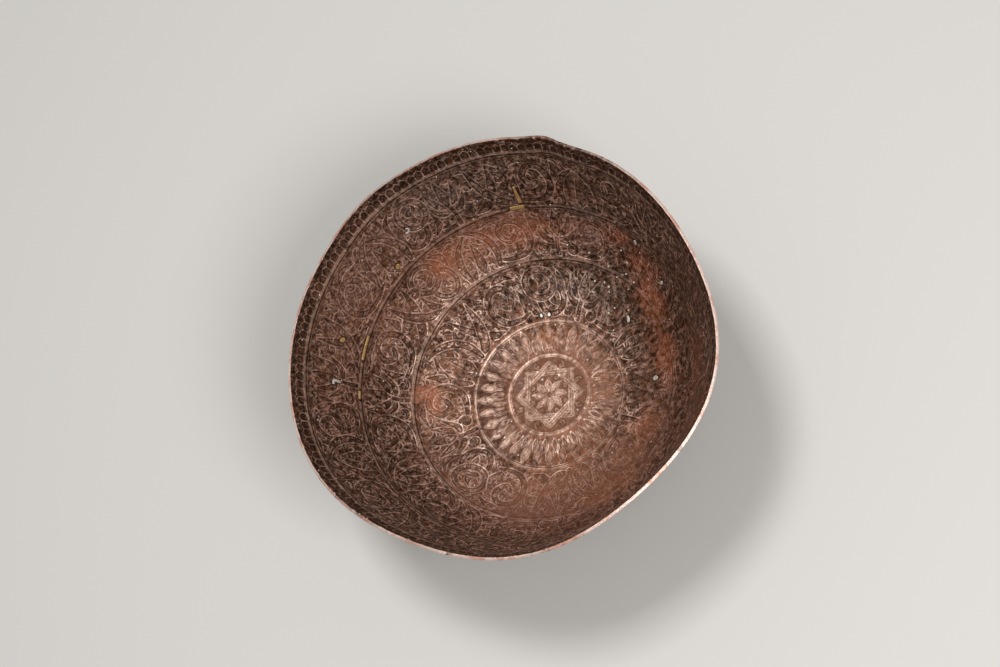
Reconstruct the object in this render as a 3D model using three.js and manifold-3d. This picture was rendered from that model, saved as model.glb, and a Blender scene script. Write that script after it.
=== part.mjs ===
// Raised brass bowl with a chased interior and the last pieces of its inlay.
//
// Millimetres, +Z up. The origin is the middle of the flat underside, on the
// surface that the bowl stands on. Azimuth 0 is +X and grows towards +Y.
//
// Places on the inside of the bowl are given as a run and an azimuth. The run
// is the distance from the middle of the floor, measured along the sheet.

import * as THREE from "three";
import * as BufferGeometryUtils from "three/addons/utils/BufferGeometryUtils.js";
import Module from "manifold-3d";

// Driving sizes of the raised sheet
const RIM_RADIUS = 88.7; // inner edge of the lip, before the knocks of use
const DEPTH = 79; // inside, from the floor to the lip
const FLOOR_RADIUS = 24.7; // flat part of the floor
const WALL_SLOPE = 71; // of the straight wall, in degrees from level
const SHEET = 1.4; // gauge of the sheet, the same all over
const LIP_BEVEL = 0.25; // worn corners of the bare lip

// Driving sizes of the chased layout, along the inside
const MEDALLION_RADIUS = 18.9;
const PETAL_BAND = 15.6;
const INNER_BAND = 27.3;
const MIDDLE_BAND = 30;
const LINK_BORDER = 9.1; // last guide ring, down from the lip

// Guide rings: a flat channel with sloping sides
const RING_WIDTH = 1.8;
const RING_SIDE = 0.35;
const RING_DEPTH = 0.35;
const RING_MARGIN = 0.7; // bare metal beside a guide ring

// Rosette of leaves and buds round the medallion
const PETALS = 32;
const LEAF_LENGTH = 11;
const LEAF_WIDTH = 3.6;
const BUD_LENGTH = 6;
const BUD_WIDTH = 1.9;
const CHASE_DEPTH = 0.3;

// Eight-pointed star of two straps in the medallion
const STAR_REACH = 15.5;
const STAR_STRAP = 1.7;

// Inlay and its seats
const INLAY_THICKNESS = 0.5;
const SEAT_FIT = 0.25; // clearance beside and below a piece of inlay

// Facets
const AROUND = 72;
const SHOULDER_STEPS = 8; // outside
const WALL_STEPS = 2; // straight wall, inside and outside
const BAND_TURN = 6; // degrees of the shoulder for each step inside a band
const PETAL_CURVE_STEPS = 2;
const INLAY_CURVE_STEPS = 5;

// The bowl has been knocked out of round. Each lobe adds a wave of the given
// height to the lip, with a crest at the given azimuth.
const LOBES = [
  { waves: 1, height: 1.85, crest: -72 },
  { waves: 2, height: 1.2, crest: -30 },
  { waves: 3, height: 1.15, crest: -30 },
  { waves: 4, height: 0.6, crest: -3 },
  { waves: 5, height: 0.6, crest: -12 },
  { waves: 6, height: 0.5, crest: -20 },
];

// One blow on the lip left a corner and, beside it, a dent. Another left a bulge.
const BLOWS = [
  { height: 1.35, azimuth: 76, spread: 4.5 },
  { height: -0.5, azimuth: 66, spread: 5.5 },
  { height: 2.05, azimuth: 130, spread: 14 },
];
const KNOCK_RISE = 2; // how the knocks fade from the lip down, as a power

const radians = THREE.MathUtils.degToRad;
const slope = radians(WALL_SLOPE);

// The shoulder is the arc that meets both the floor and the wall smoothly.
const shoulderRadius =
  ((RIM_RADIUS - FLOOR_RADIUS) * Math.tan(slope) - DEPTH) / (1 / Math.cos(slope) - 1);
const shoulderEnd = FLOOR_RADIUS + shoulderRadius * slope;
const shoulderRise = shoulderRadius * (1 - Math.cos(slope));
const lipRun = shoulderEnd + (DEPTH - shoulderRise) / Math.sin(slope);

// Guide rings, from the medallion out to the lip
const medallionRing = MEDALLION_RADIUS;
const petalRing = medallionRing + PETAL_BAND;
const innerRing = petalRing + INNER_BAND;
const middleRing = innerRing + MIDDLE_BAND;
const borderRing = lipRun - LINK_BORDER;
const guideRings = [medallionRing, petalRing, innerRing, middleRing, borderRing];

const seatDepth = INLAY_THICKNESS + SEAT_FIT;

// Radius, height and lean of the inner face at a run, on a round bowl.
function section(run) {
  if (run <= FLOOR_RADIUS) {
    return { radius: run, height: SHEET, lean: 0 };
  }
  if (run <= shoulderEnd) {
    const lean = (run - FLOOR_RADIUS) / shoulderRadius;
    return {
      radius: FLOOR_RADIUS + shoulderRadius * Math.sin(lean),
      height: SHEET + shoulderRadius * (1 - Math.cos(lean)),
      lean,
    };
  }
  const along = run - shoulderEnd;
  return {
    radius: FLOOR_RADIUS + shoulderRadius * Math.sin(slope) + along * Math.cos(slope),
    height: SHEET + shoulderRise + along * Math.sin(slope),
    lean: slope,
  };
}

// The same point lifted off the inner face, along its normal.
function profilePoint(run, lift) {
  const { radius, height, lean } = section(run);
  return new THREE.Vector2(radius - lift * Math.sin(lean), height + lift * Math.cos(lean));
}

// Outward swell of the lip at an azimuth in degrees.
function swell(azimuth) {
  let total = 0;
  for (const { waves, height, crest } of LOBES) {
    total += height * Math.cos(radians(waves * (azimuth - crest)));
  }
  for (const blow of BLOWS) {
    const away = THREE.MathUtils.euclideanModulo(azimuth - blow.azimuth + 180, 360) - 180;
    total += blow.height * Math.exp(-((away / blow.spread) ** 2));
  }
  return total;
}

// Moves every vertex of a geometry from the round bowl to the knocked one.
function knock(geometry) {
  const position = geometry.getAttribute("position");
  for (let i = 0; i < position.count; i += 1) {
    const x = position.getX(i);
    const y = position.getY(i);
    const radius = Math.hypot(x, y);
    const azimuth = Math.atan2(y, x);
    const rise = Math.max(position.getZ(i) - SHEET, 0) / DEPTH;
    const knocked = radius + rise ** KNOCK_RISE * swell(THREE.MathUtils.radToDeg(azimuth));
    position.setX(i, knocked * Math.cos(azimuth));
    position.setY(i, knocked * Math.sin(azimuth));
  }
  return geometry;
}

// Lays an upright extrusion on the wall: its x runs up the wall, its y runs
// round the bowl and its z lifts off the sheet.
function drape(geometry, run, azimuth) {
  const position = geometry.getAttribute("position");
  for (let i = 0; i < position.count; i += 1) {
    const here = run + position.getX(i);
    const point = profilePoint(here, position.getZ(i));
    const turn = radians(azimuth) + position.getY(i) / section(here).radius;
    position.setXYZ(i, point.x * Math.cos(turn), point.x * Math.sin(turn), point.y);
  }
  return knock(geometry);
}

// Closed outline of the raised sheet, from the middle of its underside, round
// the lip and back down the inside through the guide rings.
function sheetProfile() {
  const points = [new THREE.Vector2(0, 0)];
  for (let i = 0; i <= SHOULDER_STEPS; i += 1) {
    const run = THREE.MathUtils.lerp(FLOOR_RADIUS, shoulderEnd, i / SHOULDER_STEPS);
    points.push(profilePoint(run, -SHEET));
  }
  for (let i = 1; i < WALL_STEPS; i += 1) {
    const run = THREE.MathUtils.lerp(shoulderEnd, lipRun, i / WALL_STEPS);
    points.push(profilePoint(run, -SHEET));
  }
  points.push(profilePoint(lipRun - LIP_BEVEL, -SHEET));
  points.push(profilePoint(lipRun, LIP_BEVEL - SHEET));
  points.push(profilePoint(lipRun, -LIP_BEVEL));
  points.push(profilePoint(lipRun - LIP_BEVEL, 0));

  let above = lipRun - LIP_BEVEL;
  for (const ring of guideRings.toReversed()) {
    const top = ring + RING_WIDTH / 2;
    const turned = section(above).lean - section(top).lean;
    const steps = ring === borderRing ? 1 : Math.max(WALL_STEPS, Math.ceil(turned / radians(BAND_TURN)));
    for (let i = 1; i < steps; i += 1) {
      points.push(profilePoint(THREE.MathUtils.lerp(above, top, i / steps), 0));
    }
    above = ring - RING_WIDTH / 2;
    points.push(profilePoint(top, 0));
    points.push(profilePoint(top - RING_SIDE, -RING_DEPTH));
    points.push(profilePoint(above + RING_SIDE, -RING_DEPTH));
    points.push(profilePoint(above, 0));
  }
  points.push(new THREE.Vector2(0, SHEET));
  return points;
}

const wasm = await Module();
wasm.setup();

// Solid of a closed geometry, with its shared vertices merged.
function solidOf(geometry) {
  geometry.deleteAttribute("normal");
  geometry.deleteAttribute("uv");
  const merged = BufferGeometryUtils.mergeVertices(geometry);
  const index = merged.getIndex().array;
  const corners = [];
  for (let i = 0; i < index.length; i += 3) {
    const [a, b, c] = [index[i], index[i + 1], index[i + 2]];
    if (a !== b && b !== c && c !== a) {
      corners.push(a, b, c);
    }
  }
  const mesh = new wasm.Mesh({
    numProp: 3,
    vertProperties: new Float32Array(merged.getAttribute("position").array),
    triVerts: new Uint32Array(corners),
  });
  return new wasm.Manifold(mesh);
}

function geometryOf(solid) {
  const mesh = solid.getMesh();
  const geometry = new THREE.BufferGeometry();
  geometry.setAttribute("position", new THREE.BufferAttribute(mesh.vertProperties, 3));
  geometry.setIndex(new THREE.BufferAttribute(mesh.triVerts, 1));
  geometry.computeVertexNormals();
  return geometry;
}

function extrude(shape, height, curveSegments) {
  return new THREE.ExtrudeGeometry(shape, { depth: height, bevelEnabled: false, curveSegments });
}

// A cutter that sinks an outline into the inner face to a depth, and stands
// clear of the face above by one gauge of sheet.
function sinker(shape, depth, curveSegments) {
  return extrude(shape, depth + SHEET, curveSegments).translate(0, 0, -depth);
}

// Leaf with a narrow stalk, its widest part two thirds of the way out.
function leafShape(length, width) {
  const widest = length * 0.66;
  const shape = new THREE.Shape();
  shape.moveTo(0, 0);
  shape.quadraticCurveTo(widest * 0.7, -width * 0.08, widest, -width / 2);
  shape.quadraticCurveTo(length * 0.88, -width * 0.3, length, 0);
  shape.quadraticCurveTo(length * 0.88, width * 0.3, widest, width / 2);
  shape.quadraticCurveTo(widest * 0.7, width * 0.08, 0, 0);
  return shape;
}

// Rounded bud, pointed at both ends.
function budShape(length, width) {
  const shape = new THREE.Shape();
  shape.moveTo(0, 0);
  shape.quadraticCurveTo(length * 0.5, -width, length, 0);
  shape.quadraticCurveTo(length * 0.5, width, 0, 0);
  return shape;
}

// Leaves reach in from the outer guide ring, and buds stand on the inner one,
// between their stalks.
function rosetteCutters() {
  const pitch = 360 / PETALS;
  const clearOfRing = RING_WIDTH / 2 + RING_MARGIN;
  const leafStart = petalRing - clearOfRing - LEAF_LENGTH;
  const budStart = medallionRing + clearOfRing;
  const cutters = [];
  for (let i = 0; i < PETALS; i += 1) {
    const leaf = sinker(leafShape(LEAF_LENGTH, LEAF_WIDTH), CHASE_DEPTH, PETAL_CURVE_STEPS);
    const bud = sinker(budShape(BUD_LENGTH, BUD_WIDTH), CHASE_DEPTH, PETAL_CURVE_STEPS);
    cutters.push(drape(leaf, leafStart, i * pitch));
    cutters.push(drape(bud, budStart, (i + 0.5) * pitch));
  }
  return cutters;
}

// Square frame of a strap, with its corners at a radius.
function strapShape(reach, strap) {
  const shape = new THREE.Shape();
  const window = new THREE.Path();
  const inner = reach - strap * Math.SQRT2;
  shape.moveTo(reach, 0).lineTo(0, reach).lineTo(-reach, 0).lineTo(0, -reach).closePath();
  window.moveTo(inner, 0).lineTo(0, -inner).lineTo(-inner, 0).lineTo(0, inner).closePath();
  shape.holes.push(window);
  return shape;
}

function starCutters() {
  const turns = [0, Math.PI / 4];
  return turns.map((turn) => {
    const strap = sinker(strapShape(STAR_REACH, STAR_STRAP), CHASE_DEPTH, 1);
    return strap.rotateZ(turn).translate(0, 0, SHEET);
  });
}

// Outlines of inlay. Each grows by the seat's clearance to make its seat.
const inlayShapes = {
  // Strip as long as x, with an end that may be narrower than its foot.
  strip({ length, width, tip = width }, grow) {
    const end = length / 2 + grow;
    const shape = new THREE.Shape();
    shape.moveTo(-end, -width / 2 - grow);
    shape.lineTo(end, -tip / 2 - grow);
    shape.lineTo(end, tip / 2 + grow);
    shape.lineTo(-end, width / 2 + grow);
    return shape.closePath();
  },

  chip({ length, width }, grow) {
    const shape = new THREE.Shape();
    return shape.absellipse(0, 0, length / 2 + grow, width / 2 + grow, 0, 2 * Math.PI);
  },

  // Two arms of one width that meet in a corner.
  angle({ length, arm, width }, grow) {
    const end = length / 2 + grow;
    const side = width / 2 + grow;
    const shape = new THREE.Shape();
    shape.moveTo(-end, -side).lineTo(end, -side).lineTo(end, arm + grow);
    shape.lineTo(end - 2 * side, arm + grow).lineTo(end - 2 * side, side);
    return shape.lineTo(-end, side).closePath();
  },

  // Open curl, a part of a ring.
  hook({ length, width, sweep }, grow) {
    const outer = length / 2 + grow;
    const inner = length / 2 - width - grow;
    const open = grow / (length / 2);
    const shape = new THREE.Shape();
    shape.absarc(0, 0, outer, -open, radians(sweep) + open, false);
    shape.absarc(0, 0, inner, radians(sweep) + open, -open, true);
    return shape.closePath();
  },
};

// Surviving inlay. Where a piece lies in a guide ring, its run is that ring's.
const INLAYS = [
  { name: "gold_stem", metal: "gold", form: "strip", run: middleRing + 8.1, azimuth: 90.2,
    turn: 0, length: 10.8, width: 1.9, tip: 1 },
  { name: "gold_cross_bar", metal: "gold", form: "strip", run: middleRing, azimuth: 92,
    turn: 90, length: 6.8, width: 2.2 },
  { name: "gold_ring_strip_long", metal: "gold", form: "strip", run: middleRing, azimuth: 166.6,
    turn: 90, length: 11.5, width: 1.4 },
  { name: "gold_ring_strip_short", metal: "gold", form: "strip", run: middleRing, azimuth: 183.2,
    turn: 90, length: 4, width: 1.4 },
  { name: "gold_bud_left", metal: "gold", form: "chip", run: middleRing + 14.6, azimuth: 167.7,
    turn: 30, length: 3, width: 2.2 },
  { name: "gold_bud_upper", metal: "gold", form: "chip", run: middleRing + 5, azimuth: 137.4,
    turn: -40, length: 2.8, width: 2 },
  { name: "silver_angle", metal: "silver", form: "angle", run: middleRing + 14.6, azimuth: 181.1,
    turn: 0, length: 5.6, width: 1.2, arm: 2.6 },
  { name: "silver_hook", metal: "silver", form: "hook", run: middleRing + 15.8, azimuth: 127.3,
    turn: 120, length: 3.2, width: 0.9, sweep: 230 },
  { name: "silver_chip_1", metal: "silver", form: "chip", run: innerRing - 11.2, azimuth: 0.7,
    turn: 0, length: 2.8, width: 2.2 },
  { name: "silver_chip_2", metal: "silver", form: "chip", run: innerRing - 13.1, azimuth: 37.6,
    turn: 50, length: 3.2, width: 1.4 },
  { name: "silver_chip_3", metal: "silver", form: "chip", run: middleRing - 14.5, azimuth: 32.5,
    turn: 0, length: 2.2, width: 1.8 },
  { name: "silver_chip_4", metal: "silver", form: "chip", run: middleRing - 5.8, azimuth: 47.7,
    turn: 20, length: 2.8, width: 1.4 },
  { name: "silver_chip_5", metal: "silver", form: "chip", run: petalRing + 2.6, azimuth: 94.7,
    turn: 10, length: 1.9, width: 1.4 },
  { name: "silver_chip_6", metal: "silver", form: "chip", run: petalRing + 2.6, azimuth: 89.2,
    turn: -10, length: 1.9, width: 1.4 },
];

function inlayGeometry(inlay) {
  const shape = inlayShapes[inlay.form](inlay, 0);
  const piece = extrude(shape, INLAY_THICKNESS, INLAY_CURVE_STEPS);
  piece.rotateZ(radians(inlay.turn)).translate(0, 0, -INLAY_THICKNESS);
  return drape(piece, inlay.run, inlay.azimuth);
}

function seatCutter(inlay) {
  const shape = inlayShapes[inlay.form](inlay, SEAT_FIT);
  const seat = sinker(shape, seatDepth, INLAY_CURVE_STEPS);
  return drape(seat.rotateZ(radians(inlay.turn)), inlay.run, inlay.azimuth);
}

// The sheet is raised round, knocked out of round, then chased and seated.
function bowlShell() {
  const raised = new THREE.LatheGeometry(sheetProfile(), AROUND).rotateX(Math.PI / 2);
  const cutters = [...starCutters(), ...rosetteCutters(), ...INLAYS.map(seatCutter)];
  const cuts = cutters.map(solidOf).reduce((all, cut) => all.add(cut));
  return geometryOf(solidOf(knock(raised)).subtract(cuts));
}

const finishes = {
  patina: { color: "#6b4836", metalness: 0.8, roughness: 0.5 },
  gold: { color: "#c8963c", metalness: 1, roughness: 0.35 },
  silver: { color: "#d2cfc6", metalness: 1, roughness: 0.35 },
};

function addPiece(name, geometry, finish) {
  const mesh = new THREE.Mesh(geometry, new THREE.MeshStandardMaterial(finishes[finish]));
  mesh.name = name;
  group.add(mesh);
}

const group = new THREE.Group();
addPiece("bowl_shell", bowlShell(), "patina");
for (const inlay of INLAYS) {
  addPiece(inlay.name, inlayGeometry(inlay), inlay.metal);
}

export default group;
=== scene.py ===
"""Dresses a raised brass bowl: its chased ornament, the last of its inlay, its patina and a studio.

Sizes are in millimetres until a mesh is made. A place on the inner face of the bowl is a run and
an azimuth. The run is the distance from the middle of the floor, measured along the sheet. The
azimuth grows from +X towards +Y. A lift is a height off the inner face, along its normal.
"""

import logging
import math
from collections.abc import Callable, Sequence
from dataclasses import dataclass, field
from enum import Enum
from functools import cached_property, partial

import bmesh
import bpy
import numpy as np
from mathutils import Matrix, Vector


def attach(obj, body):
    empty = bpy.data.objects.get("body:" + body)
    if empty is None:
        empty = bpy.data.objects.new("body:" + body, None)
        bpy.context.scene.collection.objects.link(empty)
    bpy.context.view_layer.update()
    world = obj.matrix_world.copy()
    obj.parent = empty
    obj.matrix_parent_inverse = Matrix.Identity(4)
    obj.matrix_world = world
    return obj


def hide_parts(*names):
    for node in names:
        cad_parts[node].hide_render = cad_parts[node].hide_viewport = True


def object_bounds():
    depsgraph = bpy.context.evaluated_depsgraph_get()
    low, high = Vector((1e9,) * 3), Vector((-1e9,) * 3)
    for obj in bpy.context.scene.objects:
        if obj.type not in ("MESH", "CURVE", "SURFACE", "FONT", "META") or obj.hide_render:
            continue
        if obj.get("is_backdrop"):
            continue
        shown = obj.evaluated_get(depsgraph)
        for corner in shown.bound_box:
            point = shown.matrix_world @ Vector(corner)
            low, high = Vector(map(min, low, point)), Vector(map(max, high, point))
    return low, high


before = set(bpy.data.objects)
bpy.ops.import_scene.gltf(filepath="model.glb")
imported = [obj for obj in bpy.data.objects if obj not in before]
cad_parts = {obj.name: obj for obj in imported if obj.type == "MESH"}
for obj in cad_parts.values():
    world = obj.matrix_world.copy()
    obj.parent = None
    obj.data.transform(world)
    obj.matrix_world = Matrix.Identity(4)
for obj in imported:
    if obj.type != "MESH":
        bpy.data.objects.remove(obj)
cad_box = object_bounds()

log = logging.getLogger("bowl")

MM = 0.001  # metres in a millimetre
FULL_TURN = 2 * math.pi
FAR = 50.0  # millimetres, further than any mark reaches
BODY = "root"
SEAT_DEPTH = 0.62  # millimetres, below the underside of the inlay
REACH = 1.5  # millimetres, the furthest distance that a mark keeps


def smoothstep(low: float, high: float, value: np.ndarray) -> np.ndarray:
    """Eases each value from 0 at low to 1 at high, which may be below low."""
    t = np.clip((value - low) / (high - low), 0, 1)
    return t * t * (3 - 2 * t)


def ridge(value: np.ndarray, centre: float, spread: float) -> np.ndarray:
    """Bell of height 1 at a centre, which has fallen to about a third at the spread."""
    return np.exp(-(((value - centre) / spread) ** 2))


def turned(azimuth: np.ndarray | float, centre: float) -> np.ndarray:
    """Signed turn in degrees from a centre to each azimuth, between -180 and 180."""
    return (np.asarray(azimuth) - centre + 180) % 360 - 180


@dataclass(frozen=True)
class Lattice:
    """Cube of random numbers from which soft clouds and hammer blows are worked out.

    Attributes:
        size: distance between neighbours in the lattice, mm.
        seed: seed of the random numbers.
    """

    size: float
    seed: int

    CELLS = 32

    @cached_property
    def values(self) -> np.ndarray:
        """Three random numbers from 0 to 1 for each corner of the lattice."""
        return np.random.default_rng(self.seed).random((self.CELLS,) * 3 + (3,))

    def corner(self, cell: np.ndarray) -> np.ndarray:
        """Random numbers at whole lattice places, which repeat every CELLS."""
        wrapped = cell % self.CELLS
        return self.values[wrapped[..., 0], wrapped[..., 1], wrapped[..., 2]]

    def cloud(self, places: np.ndarray) -> np.ndarray:
        """Soft cloud about as coarse as the lattice.

        Args:
            places: points in millimetres, with x, y and z last.

        Returns:
            A value from -1 to 1 at each point.
        """
        scaled = places / self.size
        cell = np.floor(scaled).astype(int)
        part = smoothstep(0, 1, scaled - cell)
        total = np.zeros(places.shape[:-1])
        for step in np.ndindex(2, 2, 2):
            share = np.prod(np.where(step, part, 1 - part), axis=-1)
            total += share * self.corner(cell + np.array(step))[..., 0]
        return 2 * total - 1

    def blows(self, places: np.ndarray) -> np.ndarray:
        """Distance from each point to the middle of the nearest hammer blow.

        Args:
            places: points in millimetres, with x, y and z last.

        Returns:
            The distance, in lattice sizes.
        """
        scaled = places / self.size
        cell = np.floor(scaled).astype(int)
        nearest = np.full(places.shape[:-1], FAR)
        for step in np.ndindex(3, 3, 3):
            there = cell + np.array(step) - 1
            away = there + self.corner(there) - scaled
            nearest = np.minimum(nearest, np.linalg.norm(away, axis=-1))
        return nearest


@dataclass(frozen=True)
class Lobe:
    """Wave that use has knocked into the lip: its count, its height in mm and a crest in degrees."""

    waves: int
    height: float
    crest: float


@dataclass(frozen=True)
class Blow:
    """Corner, dent or bulge of the lip: its height in mm, its azimuth and its spread in degrees."""

    height: float
    azimuth: float
    spread: float


@dataclass(frozen=True)
class BowlForm:
    """Shape of the raised sheet before it is chased.

    Attributes:
        rim_radius: inner edge of the lip before the knocks, mm.
        depth: from the floor to the lip, inside, mm.
        floor_radius: flat part of the floor, mm.
        wall_slope: slope of the straight wall, degrees from level.
        sheet: gauge of the sheet, mm.
        knock_rise: power by which the knocks fade from the lip down.
        lobes: waves of the lip.
        blows: corner, dent and bulge of the lip.
    """

    rim_radius: float = 88.7
    depth: float = 79.0
    floor_radius: float = 24.7
    wall_slope: float = 71.0
    sheet: float = 1.4
    knock_rise: float = 2.0
    lobes: tuple[Lobe, ...] = (
        Lobe(1, 1.85, -72), Lobe(2, 1.2, -30), Lobe(3, 1.15, -30),
        Lobe(4, 0.6, -3), Lobe(5, 0.6, -12), Lobe(6, 0.5, -20),
    )
    blows: tuple[Blow, ...] = (Blow(1.35, 76, 4.5), Blow(-0.5, 66, 5.5), Blow(2.05, 130, 14))

    @cached_property
    def slope(self) -> float:
        """Slope of the straight wall in radians."""
        return math.radians(self.wall_slope)

    @cached_property
    def shoulder_radius(self) -> float:
        """Radius of the arc that meets the floor and the wall smoothly."""
        rise = (self.rim_radius - self.floor_radius) * math.tan(self.slope) - self.depth
        return rise / (1 / math.cos(self.slope) - 1)

    @cached_property
    def shoulder_end(self) -> float:
        """Run at which the shoulder becomes the straight wall."""
        return self.floor_radius + self.shoulder_radius * self.slope

    @cached_property
    def lip_run(self) -> float:
        """Run of the lip."""
        rise = self.shoulder_radius * (1 - math.cos(self.slope))
        return self.shoulder_end + (self.depth - rise) / math.sin(self.slope)

    def section(self, run: np.ndarray) -> tuple[np.ndarray, np.ndarray, np.ndarray]:
        """Half section of the inner face of the round bowl.

        Args:
            run: runs along the sheet, mm.

        Returns:
            Radius in mm, height in mm and lean in radians at each run.
        """
        run = np.asarray(run, dtype=float)
        lean = np.clip((run - self.floor_radius) / self.shoulder_radius, 0, self.slope)
        flat = np.minimum(run, self.floor_radius)
        along = np.maximum(run - self.shoulder_end, 0)
        radius = flat + self.shoulder_radius * np.sin(lean) + along * math.cos(self.slope)
        height = self.sheet + self.shoulder_radius * (1 - np.cos(lean)) + along * math.sin(self.slope)
        return radius, height, lean

    def swell(self, azimuth: np.ndarray) -> np.ndarray:
        """Outward swell of the lip.

        Args:
            azimuth: azimuths in radians.

        Returns:
            The swell in mm at each azimuth.
        """
        degrees = np.degrees(azimuth)
        total = np.zeros_like(degrees)
        for lobe in self.lobes:
            total += lobe.height * np.cos(np.radians(lobe.waves * (degrees - lobe.crest)))
        for blow in self.blows:
            total += blow.height * ridge(turned(degrees, blow.azimuth), 0, blow.spread)
        return total

    def points(self, run: np.ndarray, azimuth: np.ndarray, lift: np.ndarray | float = 0.0) -> np.ndarray:
        """Points of the knocked bowl.

        Args:
            run: runs along the sheet, mm.
            azimuth: azimuths in radians.
            lift: heights off the inner face, mm.

        Returns:
            The points in mm, with x, y and z last.
        """
        radius, height, lean = self.section(run)
        radius = radius - lift * np.sin(lean)
        height = height + lift * np.cos(lean)
        rise = np.maximum(height - self.sheet, 0) / self.depth
        radius = radius + rise**self.knock_rise * self.swell(azimuth)
        return np.stack(np.broadcast_arrays(radius * np.cos(azimuth), radius * np.sin(azimuth), height), -1)


def curve(corners: Sequence[tuple[float, float]], steps: int = 7) -> np.ndarray:
    """Smooth curve through a few points.

    Args:
        corners: points that the curve passes, in order.
        steps: steps between neighbours.

    Returns:
        The points of the curve, one row each.
    """
    knots = np.array(corners, dtype=float)
    knots = np.vstack([2 * knots[0] - knots[1], knots, 2 * knots[-1] - knots[-2]])
    t = np.linspace(0, 1, steps, endpoint=False)[:, None]
    parts = []
    for before, start, end, after in zip(knots, knots[1:], knots[2:], knots[3:]):
        parts.append(
            start
            + 0.5 * t * (end - before)
            + t**2 * (before - 2.5 * start + 2 * end - 0.5 * after)
            + 0.5 * t**3 * (3 * start - 3 * end + after - before)
        )
    return np.vstack([*parts, knots[-2:-1]])


def spiral(centre: tuple[float, float], reach: float, turns: float, start: float, hand: int) -> np.ndarray:
    """Curl that winds inwards.

    Args:
        centre: middle of the curl.
        reach: its outer radius.
        turns: number of turns.
        start: direction of its outer end, in radians.
        hand: 1 to wind anticlockwise, -1 to wind clockwise.

    Returns:
        The points of the curl, from its outer end.
    """
    t = np.linspace(0, 1, max(6, round(turns * 11)))
    angle = start + hand * FULL_TURN * turns * t
    radius = reach * (1 - 0.82 * t)
    return np.stack([centre[0] + radius * np.cos(angle), centre[1] + radius * np.sin(angle)], -1)


def widths(count: int, *stops: float) -> np.ndarray:
    """Half widths along a spine, spread evenly between stops."""
    return np.interp(np.linspace(0, 1, count), np.linspace(0, 1, len(stops)), stops)


@dataclass
class Cut:
    """Recess that a chisel leaves along a spine, ready for inlay.

    Attributes:
        spine: points, one row each. On a motif they are across and up, in mm.
        half: half width at each point, mm.
    """

    spine: np.ndarray
    half: np.ndarray

    def mirrored(self) -> "Cut":
        """The same cut, with left and right exchanged."""
        return Cut(self.spine * (-1, 1), self.half)


@dataclass(frozen=True)
class ChiselMarks:
    """Relief that the tools leave at the edge of a recess and along a fine line, mm.

    Attributes:
        wall: width of the slope at the edge of a recess.
        burr_height: height of the metal pushed up beside a recess.
        burr_offset: from the edge of the recess out to the crest of that metal.
        burr_spread: how far from its crest it reaches.
        line_height: height of a fine line.
        line_spread: how far from its middle it reaches.
    """

    wall: float = 0.5
    burr_height: float = 0.07
    burr_offset: float = 0.25
    burr_spread: float = 0.4
    line_height: float = 0.06
    line_spread: float = 0.4


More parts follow.
